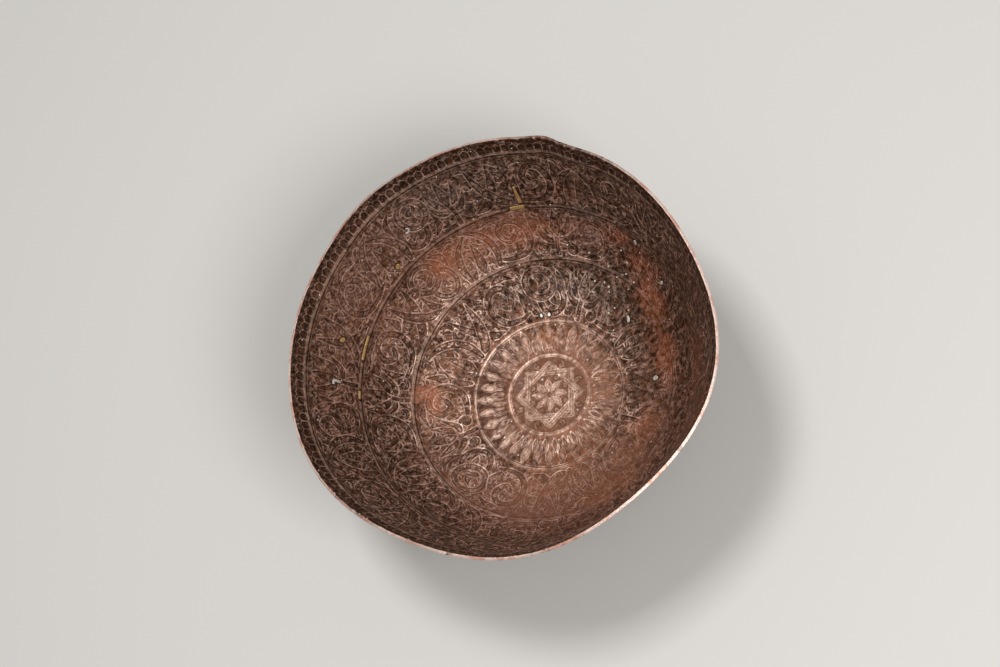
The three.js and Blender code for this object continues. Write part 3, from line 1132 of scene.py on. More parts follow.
STAINS = (
    Patch(Stain.COPPER, 80, 125, 9, 8, 1.0),
    Patch(Stain.COPPER, 80, 110, 9, 12, 0.9),
    Patch(Stain.COPPER, 77, 92, 10, 16, 0.9),
    Patch(Stain.COPPER, 79, 66, 9, 14, 0.8),
    Patch(Stain.COPPER, 84, 57, 7, 9, 0.85),
    Patch(Stain.COPPER, 76, 41, 11, 12, 0.9),
    Patch(Stain.COPPER, 66, 32, 10, 12, 0.95),
    Patch(Stain.COPPER, 59, 10, 9, 17, 0.95),
    Patch(Stain.COPPER, 122, 334, 14, 18, 0.5),
    Patch(Stain.COPPER, 90, 355, 16, 20, 0.6),
    Patch(Stain.COPPER, 55, 180, 8, 14, 0.75),
    Patch(Stain.COPPER, 44, 262, 12, 30, 0.45),
    Patch(Stain.COPPER, 60, 300, 14, 25, 0.45),
    Patch(Stain.COPPER, 49, 334, 10, 14, 0.7),
    Patch(Stain.COPPER, 95, 150, 12, 14, 0.3),
    # Pale patches: partly thin pale skin, partly painted light, most of all on the middle of the floor and on
    # the wall between azimuths 110 and 160.
    Patch(Stain.PALE, 0, 0, 38, 400, 1.4),
    Patch(Stain.PALE, 46, 200, 18, 90, 0.8),
    Patch(Stain.PALE, 74, 122, 18, 48, 1.0),
    Patch(Stain.PALE, 80, 112, 11, 30, 2.0),
    Patch(Stain.PALE, 82, 158, 12, 16, 1.1),
    Patch(Stain.PALE, 54, 181, 10, 20, 1.2),
    Patch(Stain.PALE, 49, 332, 9, 16, 1.2),
    Patch(Stain.PALE, 80, 126, 10, 9, 2.4),
    Patch(Stain.PALE, 70, 262, 14, 36, 0.9),
    Patch(Stain.PALE, 108, 150, 28, 45, 0.95),
    Patch(Stain.PALE, 52, 280, 24, 80, 1.5),
    Patch(Stain.GREY, 52, 60, 8, 22, 0.6),
    Patch(Stain.GREY, 90, 66, 9, 7, 0.9),
    Patch(Stain.GREY, 50, 110, 8, 24, 0.5),
    Patch(Stain.GREY, 49, 78, 9, 18, 0.7),
    Patch(Stain.GREY, 77, 67, 8, 7, 0.95),
    Patch(Stain.GREY, 14, 150, 6, 30, 0.5),
    Patch(Stain.GREY, 31, 140, 4, 14, 0.6),
    Patch(Stain.GREY, 112, 112, 16, 26, 0.75),
    Patch(Stain.GREY, 108, 150, 16, 20, 0.4),
    Patch(Stain.ORANGE, 27, 92, 7, 16, 0.85),
    Patch(Stain.ORANGE, 30, 285, 14, 40, 0.75),
    Patch(Stain.ORANGE, 17, 262, 5, 20, 0.6),
    Patch(Stain.ORANGE, 82, 86, 5, 6, 0.6),
    Patch(Stain.ORANGE, 103, 72, 8, 9, 0.5),
    Patch(Stain.ORANGE, 104, 160, 10, 8, 0.45),
    Patch(Stain.ORANGE, 55, 300, 14, 40, 0.5),
    Patch(Stain.ORANGE, 80, 119, 7, 8, 0.7),
    Patch(Stain.ORANGE, 78, 84, 7, 8, 0.6),
    Patch(Stain.ORANGE, 110, 185, 14, 12, 0.5),
    Patch(Stain.ORANGE, 29, 8, 9, 32, 0.6),
    # Flecks: patches where more and larger painted glints are strewn.
    Patch(Stain.FLECKS, 74, 46, 16, 18, 1.0),
    Patch(Stain.FLECKS, 56, 55, 12, 18, 1.0),
    Patch(Stain.FLECKS, 64, 72, 9, 20, 0.7),
    Patch(Stain.FLECKS, 76, 118, 9, 22, 0.5),
)


@dataclass
class Block:
    """Rows of points that are joined into faces.

    Attributes:
        points: points in mm, by row, column and axis. Every row goes right round the bowl.
        marks: values from 0 to 1 by name, for each point.
    """

    points: np.ndarray
    marks: dict[str, np.ndarray]


class MeshBuilder:
    """Joins blocks of points into one closed skin, from one middle to the other."""

    def __init__(self) -> None:
        """Starts with nothing."""
        self.points: list[np.ndarray] = []
        self.marks: list[dict[str, np.ndarray]] = []
        self.faces: list[tuple[int, ...]] = []
        self.count = 0
        self.edge: np.ndarray | None = None

    def add(self, block: Block) -> None:
        """Adds a block after the last one, and stitches their edges together.

        Args:
            block: the rows of points.
        """
        rows, columns = block.points.shape[:2]
        index = self.count + np.arange(rows * columns).reshape(rows, columns)
        self.points.append(block.points.reshape(-1, 3))
        self.marks.append({name: value.reshape(-1) for name, value in block.marks.items()})
        self.count += rows * columns
        right = np.roll(index, -1, axis=1)
        quads = np.stack([index[:-1], right[:-1], right[1:], index[1:]], -1).reshape(-1, 4)
        self.faces.extend(map(tuple, quads.tolist()))
        if self.edge is not None:
            self.stitch(self.edge, index[0])
        self.edge = index[-1]

    def stitch(self, low: np.ndarray, high: np.ndarray) -> None:
        """Fills the strip between two rings, which may have different counts.

        Args:
            low: indices of the lower ring.
            high: indices of the upper ring.
        """
        a, b = 0, 0
        while a < len(low) or b < len(high):
            if (a + 1) / len(low) <= (b + 1) / len(high) + 1e-9 and a < len(low):
                self.faces.append((low[a % len(low)], low[(a + 1) % len(low)], high[b % len(high)]))
                a += 1
            else:
                self.faces.append((low[a % len(low)], high[(b + 1) % len(high)], high[b % len(high)]))
                b += 1

    def cap(self, point: tuple[float, float, float], marks: dict[str, float], first: bool = False) -> None:
        """Closes the skin on a middle point.

        Args:
            point: the middle, in mm.
            marks: its marks.
            first: True before the first block, which is then stitched to it.
        """
        self.points.append(np.array([point]))
        self.marks.append({name: np.array([value]) for name, value in marks.items()})
        middle = self.count
        self.count += 1
        if first:
            self.edge = np.array([middle])
        elif self.edge is not None:
            for here, there in zip(self.edge, np.roll(self.edge, -1)):
                self.faces.append((int(here), int(there), middle))

    def build(self, name: str, layers: dict[str, tuple[str, ...]]) -> bpy.types.Object:
        """Makes the mesh, smooth, with its marks as colour attributes.

        Args:
            name: name of the piece.
            layers: for each attribute, the marks that it holds as red, green and blue.

        Returns:
            The object.
        """
        mesh = bpy.data.meshes.new(name)
        faces = [tuple(int(i) for i in face) for face in self.faces]
        faces = [face for face in faces if len(set(face)) == len(face)]
        mesh.from_pydata((np.vstack(self.points) * MM).tolist(), [], faces)
        for layer, names in layers.items():
            colours = np.ones((self.count, 4), dtype=np.float32)
            for channel, mark in enumerate(names):
                colours[:, channel] = np.concatenate([part[mark] for part in self.marks])
            attribute = mesh.attributes.new(layer, "FLOAT_COLOR", "POINT")
            attribute.data.foreach_set("color", colours.ravel())
        mesh.validate()
        mesh.shade_smooth()
        made = bpy.data.objects.new(name, mesh)
        bpy.context.collection.objects.link(made)
        return made


class Metal(Enum):
    """Metals of the inlay, each with its material slot."""

    GOLD = "gold_inlay"
    SILVER = "silver_inlay"


class Form(Enum):
    """Outlines of inlay."""

    STRIP = "strip"
    CHIP = "chip"
    ANGLE = "angle"
    HOOK = "hook"


@dataclass(frozen=True)
class Inlay:
    """Piece of beaten foil that is still in its seat.

    Attributes:
        name: name of the piece, and of the solid that it stands for.
        metal: what it is cut from.
        form: its outline.
        ring: number of the guide ring that its place is measured from.
        above: from that ring to its middle, along the sheet, mm.
        azimuth: azimuth of its middle, degrees.
        turn: how far its length is turned from upright, degrees.
        length: its length, mm.
        width: its width, mm.
        tip: width of the narrow end of a strip, mm, or 0 for an even strip.
        arm: length of the short arm of an angle, mm.
        sweep: how far a hook goes round, degrees.
    """

    name: str
    metal: Metal
    form: Form
    ring: int
    above: float
    azimuth: float
    turn: float
    length: float
    width: float
    tip: float = 0.0
    arm: float = 0.0
    sweep: float = 0.0

    THICKNESS = 0.45
    CROWN = 0.1  # how far the worn top stands above the wall
    STEP = 0.22  # mm between stations along a piece

    def outline(self) -> Cut:
        """Outline of the piece before it is turned.

        Returns:
            The cut, in mm: up the wall and round it.
        """
        if self.form is Form.HOOK:
            radius = (self.length - self.width) / 2
            angles = np.radians(np.linspace(0, self.sweep, 24))
            spine = np.stack([radius * np.cos(angles), radius * np.sin(angles)], -1)
            return Cut(spine, widths(24, 0.3, 1, 1, 1, 0.3) * self.width / 2)
        if self.form is Form.ANGLE:
            corner = (self.length - self.width) / 2
            reach = self.arm - self.width / 2
            bends = np.array([(-corner, 0), (corner - 0.3, 0), (corner, 0.3), (corner, reach)])
            legs = [np.linspace(a, b, 8, endpoint=False) for a, b in zip(bends, bends[1:])]
            spine = np.vstack([*legs, bends[-1:]])
            return Cut(spine, np.full(len(spine), self.width / 2))
        count = max(9, round(self.length / self.STEP))
        end = self.length / 2
        share = np.linspace(-1, 1, count)
        if self.form is Form.CHIP:
            half = self.width / 2 * np.sqrt(np.maximum(1 - (0.97 * share) ** 2, 0))
            return Cut(np.stack([end * 0.97 * share, 0 * share], -1), half)
        half = np.interp(share, (-1, 1), (self.width, self.tip or self.width)) / 2
        end -= 0.15
        return Cut(np.stack([end * share, 0 * share], -1), half)

    def place(
        self, x: np.ndarray, y: np.ndarray, run: float, form: BowlForm,
    ) -> tuple[np.ndarray, np.ndarray]:
        """Turns places on the piece into places on the bowl.

        Args:
            x: along the piece, mm.
            y: across it, mm.
            run: run of its middle, mm.
            form: shape of the bowl.

        Returns:
            Runs in mm and azimuths in radians.
        """
        turn = math.radians(self.turn)
        here = run + x * math.cos(turn) - y * math.sin(turn)
        across = x * math.sin(turn) + y * math.cos(turn)
        return here, math.radians(self.azimuth) + across / form.section(here)[0]

    def seat(self, run: float, form: BowlForm) -> Cut:
        """Cut of the seat.

        Args:
            run: run of the piece's middle, mm.
            form: shape of the bowl.

        Returns:
            The cut, with azimuths in radians and runs in its spine.
        """
        cut = self.outline()
        here, azimuth = self.place(cut.spine[:, 0], cut.spine[:, 1], run, form)
        return Cut(np.stack([azimuth, here], -1), cut.half)

    def build(self, run: float, form: BowlForm, seed: int) -> bpy.types.Object:
        """Makes the foil: a crowned, dented strip with rolled edges, closed all round.

        Args:
            run: run of its middle, mm.
            form: shape of the bowl.
            seed: seed of its dents.

        Returns:
            The object.
        """
        cut = self.outline()
        tangent = np.gradient(cut.spine, axis=0)
        tangent /= np.linalg.norm(tangent, axis=1)[:, None]
        side = np.stack([-tangent[:, 1], tangent[:, 0]], -1)
        top = np.array([-1, -0.93, -0.75, -0.5, -0.25, 0, 0.25, 0.5, 0.75, 0.93, 1])
        across = np.concatenate([top, [0.96, 0, -0.96]])
        lift = np.concatenate([self.CROWN * (1 - 1.6 * np.abs(top) ** 6), np.full(3, -self.THICKNESS)])
        ends = np.ones(len(cut.half))
        ends[0] = ends[-1] = 0.86
        x = cut.spine[:, :1] + side[:, :1] * cut.half[:, None] * across * ends[:, None]
        y = cut.spine[:, 1:] + side[:, 1:] * cut.half[:, None] * across * ends[:, None]
        here, azimuth = self.place(x, y, run, form)
        flat = form.points(here, azimuth)
        dents = 0.05 * Lattice(0.9, seed).cloud(flat) + 0.025 * Lattice(0.4, seed + 1).cloud(flat)
        top_only = np.concatenate([np.ones(len(top)), np.zeros(3)])
        lifts = lift + dents * top_only - 0.09 * (1 - ends[:, None]) / 0.14 * top_only
        points = form.points(here, azimuth, lifts)
        stations, loop = points.shape[:2]
        index = np.arange(stations * loop).reshape(stations, loop)
        after = np.roll(index, -1, axis=1)
        quads = np.stack([index[:-1], after[:-1], after[1:], index[1:]], -1).reshape(-1, 4).tolist()
        quads += [index[0][::-1].tolist(), index[-1].tolist()]
        mesh = bpy.data.meshes.new(self.name)
        mesh.from_pydata((points.reshape(-1, 3) * MM).tolist(), [], quads)
        mesh.validate()
        made = bpy.data.objects.new(f"foil_{self.name}", mesh)
        bpy.context.collection.objects.link(made)
        face_out(made)
        mesh.shade_smooth()
        return made


def face_out(piece: bpy.types.Object) -> None:
    """Turns the faces of a closed mesh outwards.

    Args:
        piece: object that holds the mesh.
    """
    skin = bmesh.new()
    skin.from_mesh(piece.data)
    bmesh.ops.recalc_face_normals(skin, faces=skin.faces)
    if skin.calc_volume(signed=True) < 0:
        bmesh.ops.reverse_faces(skin, faces=skin.faces)
    skin.to_mesh(piece.data)
    skin.free()


INLAYS = (
    Inlay("gold_stem", Metal.GOLD, Form.STRIP, 3, 8.1, 90.2, 0, 10.8, 1.9, tip=1.0),
    Inlay("gold_cross_bar", Metal.GOLD, Form.STRIP, 3, 0.0, 92.0, 90, 6.8, 2.2),
    Inlay("gold_ring_strip_long", Metal.GOLD, Form.STRIP, 3, 0.0, 166.6, 90, 11.5, 1.4),
    Inlay("gold_ring_strip_short", Metal.GOLD, Form.STRIP, 3, 0.0, 183.2, 90, 4.0, 1.4),
    Inlay("gold_bud_left", Metal.GOLD, Form.CHIP, 3, 14.6, 167.7, 30, 3.0, 2.2),
    Inlay("gold_bud_upper", Metal.GOLD, Form.CHIP, 3, 5.0, 137.4, -40, 2.8, 2.0),
    Inlay("silver_angle", Metal.SILVER, Form.ANGLE, 3, 14.6, 181.1, 0, 5.6, 1.2, arm=2.6),
    Inlay("silver_hook", Metal.SILVER, Form.HOOK, 3, 15.8, 127.3, 120, 3.2, 0.9, sweep=230),
    Inlay("silver_chip_1", Metal.SILVER, Form.CHIP, 2, -11.2, 0.7, 0, 2.8, 2.2),
    Inlay("silver_chip_2", Metal.SILVER, Form.CHIP, 2, -13.1, 37.6, 50, 3.2, 1.4),
    Inlay("silver_chip_3", Metal.SILVER, Form.CHIP, 3, -14.5, 32.5, 0, 2.2, 1.8),
    Inlay("silver_chip_4", Metal.SILVER, Form.CHIP, 3, -5.8, 47.7, 20, 2.8, 1.4),
    Inlay("silver_chip_5", Metal.SILVER, Form.CHIP, 1, 2.6, 94.7, 10, 1.9, 1.4),
    Inlay("silver_chip_6", Metal.SILVER, Form.CHIP, 1, 2.6, 89.2, -10, 1.9, 1.4),
)


@dataclass(frozen=True)
class Nick:
    """Notch in the lip: its azimuth and spread in degrees, and its depth in mm."""

    azimuth: float
    spread: float
    depth: float


@dataclass
class BowlShell:
    """The raised sheet itself, chased inside, hammered outside and bare along the lip.

    Attributes:
        form: shape of the sheet.
        rings: guide rings.
        medallion: figure in the middle of the floor.
        rosette: ring of leaves.
        bands: three wide bands.
        border: links under the lip.
        inlays: pieces whose seats are cut.
        columns: columns of points in each zone, from the middle out.
        row_spacing: distance between rows in each zone, mm.
        outside_columns: columns of points outside.
        outside_spacing: distance between rows outside, mm.
        nicks: notches that show in the lip.
        lip_wear: azimuths in degrees and how bright the lip is painted there, from 0 to 1: bare metal, and
            partly a painted highlight.
    """

    form: BowlForm = field(default_factory=BowlForm)
    rings: GuideRings = field(default_factory=GuideRings)
    medallion: Medallion = field(default_factory=Medallion)
    rosette: Rosette = field(default_factory=Rosette)
    bands: tuple[ScrollBand, ...] = (
        ScrollBand(1, 2, 16, (
            Motif.BLADES, Motif.LANCET, Motif.VINE, Motif.PALMETTE, Motif.INTERLACE, Motif.VINE,
        )),
        ScrollBand(2, 3, 22, (
            Motif.VINE, Motif.LANCET, Motif.INTERLACE, Motif.BLADES, Motif.VINE, Motif.PALMETTE,
        )),
        ScrollBand(3, 4, 26, (
            Motif.LANCET, Motif.VINE, Motif.BLADES, Motif.PALMETTE, Motif.INTERLACE,
        )),
    )
    border: LinkBorder = field(default_factory=LinkBorder)
    inlays: tuple[Inlay, ...] = INLAYS
    columns: tuple[int, ...] = (288, 432, 720, 900, 1050)
    row_spacing: tuple[float, ...] = (0.5, 0.47, 0.48, 0.5, 0.49)
    outside_columns: int = 288
    outside_spacing: float = 1.7
    nicks: tuple[Nick, ...] = (
        Nick(257.8, 0.7, 0.45), Nick(325, 0.6, 0.5), Nick(172.3, 0.5, 0.35), Nick(71.5, 0.8, 0.35),
        Nick(20, 0.6, 0.25), Nick(118, 0.7, 0.25), Nick(214, 0.6, 0.3), Nick(291, 0.7, 0.25),
    )
    lip_wear: tuple[tuple[float, float], ...] = (
        (0, 0.9), (30, 1.0), (60, 0.5), (75, 0.35), (90, 0.75), (120, 0.65), (150, 0.85), (180, 1.0),
        (195, 1.0), (225, 0.6), (240, 0.75), (270, 0.75), (285, 0.6), (300, 0.75), (315, 1.0),
        (330, 0.95), (360, 0.9),
    )

    SEED = 11
    # Marks that each colour attribute of the mesh holds as red, green and blue
    LAYERS = {
        "chasing": ("outline", "line", "deep"),
        "stains": ("copper", "pale", "grey"),
        "bare": ("lip", "orange", "polish"),
        "age": ("wear", "hammered", "shade"),
        "handled": ("flecks", "smooth"),
    }

    def fields(self) -> list[ChasedField]:
        """Chases the five zones of the inner face.

        Returns:
            The zones, from the middle out.
        """
        edges = [0.6, *self.rings.runs(self.form)[:4], self.form.lip_run - 0.5]
        kinds = [FloorField] + [ChasedField] * 4
        zones = [
            kind(self.form, low + (0.45 if i else 0), high, columns, spacing)
            for i, (kind, low, high, columns, spacing)
            in enumerate(zip(kinds, edges, edges[1:], self.columns, self.row_spacing))
        ]
        rng = np.random.default_rng(self.SEED)
        self.medallion.chase(zones[0])
        self.rosette.chase(zones[1], self.rings, rng)
        for band, zone in zip(self.bands, zones[2:]):
            band.chase(zone, self.rings, rng)
        self.border.chase(zones[4], self.rings, rng)
        self.rings.chase(zones, self.form)
        for inlay in self.inlays:
            seat = inlay.seat(self.rings.runs(self.form)[inlay.ring] + inlay.above, self.form)
            for zone in zones[1:]:
                zone.cut_seat(seat)
        return zones

    def stains(self, run: np.ndarray, azimuth: np.ndarray) -> dict[str, np.ndarray]:
        """Strength of each stain at places on the inner face.

        Args:
            run: runs of the places, mm.
            azimuth: azimuths of the places, in radians.

        Returns:
            The strengths, by the name of the mark.
        """
        marks = {stain: np.zeros(np.broadcast(run, azimuth).shape) for stain in Stain}
        for patch in STAINS:
            marks[patch.stain] = np.maximum(marks[patch.stain], patch.spread(run, np.degrees(azimuth)))
        return {stain.value: value for stain, value in marks.items()}

    def inside(self, zone: ChasedField) -> Block:
        """Points of one zone, with the relief of the chasing and the old hammer marks under it.

        Args:
            zone: the zone, chased.

        Returns:
            The block of points.
        """
        run, azimuth = np.broadcast_arrays(zone.runs[:, None], zone.azimuths)
        flat = self.form.points(run, azimuth)
        clouds = Lattice(14, 3).cloud(flat) + 0.3 * Lattice(5, 4).cloud(flat)
        wear = smoothstep(0.15, 1.1, 0.7 * clouds + self.wear(run, np.degrees(azimuth)))
        relief, marks = zone.marks(ChiselMarks(), wear)
        relief = relief + 0.1 * (Lattice(8, 5).blows(flat) ** 2 - 0.35) + 0.03 * Lattice(1.2, 6).cloud(flat)
        lip = 0.2 * smoothstep(self.form.lip_run - 0.6, self.form.lip_run - 0.45, run)
        # A band of painted shade just under the lip.
        shade = smoothstep(self.form.lip_run - 3.2, self.form.lip_run - 2.2, run)
        marks |= self.stains(run, azimuth) | {"lip": lip, "shade": shade}
        marks |= {name: np.zeros(run.shape) for name in ("hammered", "smooth")}
        return Block(self.form.points(run, azimuth, relief), marks)

    def wear(self, run: np.ndarray, azimuth: np.ndarray) -> np.ndarray:
        """How far use has rubbed each place, with painted shade on the wall towards +X.

        The shoulder and the petals are rubbed most, then the wall towards +X and the inner band. On the wall
        towards +X it is partly painted shade, which dims the bright lines there.

        Args:
            run: runs of the places, mm.
            azimuth: azimuths of the places, degrees.

        Returns:
            The wear, from 0 to about 2.
        """
        shoulder = ridge(run, 52, 16) * ridge(turned(azimuth, 290), 0, 70)
        near_wall = ridge(run, 96, 34) * ridge(turned(azimuth, 325), 0, 50)
        petals = ridge(run, 27, 9) * ridge(turned(azimuth, 345), 0, 95)
        # far_wall and side dim the lines on the wall towards +X: partly wear, partly painted shade.
        far_wall = ridge(run, 112, 22) * ridge(turned(azimuth, 12), 0, 38)
        side = ridge(run, 62, 22) * ridge(turned(azimuth, 22), 0, 36)
        inner = ridge(run, 50, 14) * ridge(turned(azimuth, 95), 0, 75)
        most = 0.9 * shoulder + 0.6 * near_wall + 0.95 * petals + 0.5 * inner
        return most + 0.95 * side + 0.5 * far_wall + 0.15 * ridge(run, 78, 9)

    def lip(self) -> Block:
        """Points round the bare edge of the sheet, worn round and nicked.

        Returns:
            The block of points.
        """
        azimuth = np.arange(self.columns[-1]) * FULL_TURN / self.columns[-1]
        degrees = np.degrees(azimuth)
        gauge = self.form.sheet
        corners = np.array([
            (-0.22, 0.0), (-0.08, -0.08), (0.0, -0.24), (0.03, -0.45), (0.03, -gauge / 2),
            (0.03, 0.45 - gauge), (0.0, 0.24 - gauge), (-0.08, 0.08 - gauge), (-0.22, -gauge), (-0.7, -gauge),
        ])
        place = self.form.points(np.full(len(azimuth), self.form.lip_run), azimuth)
        worn = 0.05 * Lattice(6, 21).cloud(place) + 0.05 * Lattice(1.8, 22).cloud(place) - 0.06
        for nick in self.nicks:
            worn = worn - nick.depth * ridge(turned(degrees, nick.azimuth), 0, nick.spread)
        run = self.form.lip_run + corners[:, :1] + worn * smoothstep(-0.9, 0, corners[:, :1])
        lift = corners[:, 1:] + 0.05 * Lattice(2.6, 23).cloud(place) * smoothstep(-0.9, 0, corners[:, :1])
        run, lift, azimuth = np.broadcast_arrays(run, lift, azimuth)
        # How bright the lip is painted: bare metal, and partly a painted highlight.
        bare = 1 - 0.75 * smoothstep(-0.3, -0.7, run - self.form.lip_run)
        bare = bare * smoothstep(0.05, -0.35, corners[:, 1:]) * np.interp(degrees, *zip(*self.lip_wear))
        return Block(self.form.points(run, azimuth, lift), self.plain_marks(run.shape) | {"lip": bare})

    def outside(self) -> Block:
        """Points of the hammered outside, from the lip down to the flat underside.

        Returns:
            The block of points.
        """
        start = self.form.lip_run - 1.8
        rows = round((start - 1.5) / self.outside_spacing)
        run = np.linspace(start, 1.5, rows)[:, None]
        azimuth = np.arange(self.outside_columns) * FULL_TURN / self.outside_columns
        flat = self.form.points(run, azimuth, -self.form.sheet)
        dishes = Lattice(7.5, 31).blows(flat) ** 2
        relief = -0.22 * (dishes - 0.4) + 0.05 * Lattice(16, 32).cloud(flat)
        points = self.form.points(run, azimuth, relief * smoothstep(0, 5, start - run) - self.form.sheet)
        points[..., 2] = np.maximum(points[..., 2], 0)
        shape = points.shape[:2]
        marks = self.plain_marks(shape)
        marks["lip"] = 0.4 * smoothstep(1.6, 0, start - run + 0.8 * Lattice(3, 33).cloud(flat))
        rim_of_foot = ridge(run + 0 * azimuth, self.form.floor_radius + 3, 5) * (run > 6)
        marks["hammered"] = 0.35 * smoothstep(0.55, 0.95, np.sqrt(dishes)) + 0.4 * rim_of_foot
        marks["smooth"] = smoothstep(0, 3, start - run) + np.zeros(shape)
        return Block(points, marks)

    def plain_marks(self, shape: tuple[int, ...]) -> dict[str, np.ndarray]:
        """Marks of plain metal, far from any cut."""
        names = [name for layer in self.LAYERS.values() for name in layer]
        return {name: np.full(shape, 1.0 if name in ("outline", "line") else 0.0) for name in names}

    def build(self) -> bpy.types.Object:
        """Makes the shell.

        Returns:
            The object.
        """
        builder = MeshBuilder()
        none = {name: float(value) for name, value in self.plain_marks(()).items()}
        # The middle of the floor is pale: partly pale skin, partly painted light.
        builder.cap((0, 0, self.form.sheet - 0.1), none | {"pale": 0.9}, first=True)
        for zone in self.fields():
            builder.add(self.inside(zone))
        builder.add(self.lip())
        builder.add(self.outside())
        builder.cap((0, 0, 0), none)
        return builder.build("chased_bowl", self.LAYERS)


def srgb(colour: str) -> tuple[float, float, float, float]:
    """Linear colour of an sRGB hex value, such as #8a6b52."""
    values = [int(colour[i:i + 2], 16) / 255 for i in (1, 3, 5)]
    return (*[v / 12.92 if v <= 0.04045 else ((v + 0.055) / 1.055) ** 2.4 for v in values], 1.0)


def per_mm(size: float) -> float:
    """Scale of a pattern whose features are a size in mm, for coordinates in metres."""
    return 1 / (size * MM)


# Settings of a Math or Map Range node
TIMES = {"operation": "MULTIPLY"}
TIMES_PLUS = {"operation": "MULTIPLY_ADD"}
LARGER = {"operation": "MAXIMUM"}
EASED = {"interpolation_type": "SMOOTHSTEP"}  # 0 where the value is input 1, and input 4 where it is input 2

Feed = bpy.types.Node | bpy.types.NodeSocket
AddNode = Callable[..., bpy.types.Node]


def add_node(
    tree: bpy.types.NodeTree, kind: str, inputs: dict | None = None, **settings: object,
) -> bpy.types.Node:
    """Adds a node with its settings and links.

    Args:
        tree: tree that the node goes into.
        kind: type of the node, without the words ShaderNode.
        inputs: for each input, by name or number, its value or what feeds it: an output, or a node
            whose first output is meant.
        settings: attributes of the node.

    Returns:
        The node.
    """
    made = tree.nodes.new("ShaderNode" + kind)
    for name, value in settings.items():
        setattr(made, name, value)
    for key, value in (inputs or {}).items():
        if isinstance(value, bpy.types.Node):
            value = value.outputs[0]
        if isinstance(value, bpy.types.NodeSocket):
            tree.links.new(value, made.inputs[key])
        else:
            made.inputs[key].default_value = value
    return made


def new_material(name: str) -> tuple[bpy.types.Material, bpy.types.NodeTree]:
    """Makes a material with an empty node tree.

    Args:
        name: name of the material.

    Returns:
        The material and its tree.
    """
    material = bpy.data.materials.new(name)
    material.use_nodes = True
    material.node_tree.nodes.clear()
    return material, material.node_tree


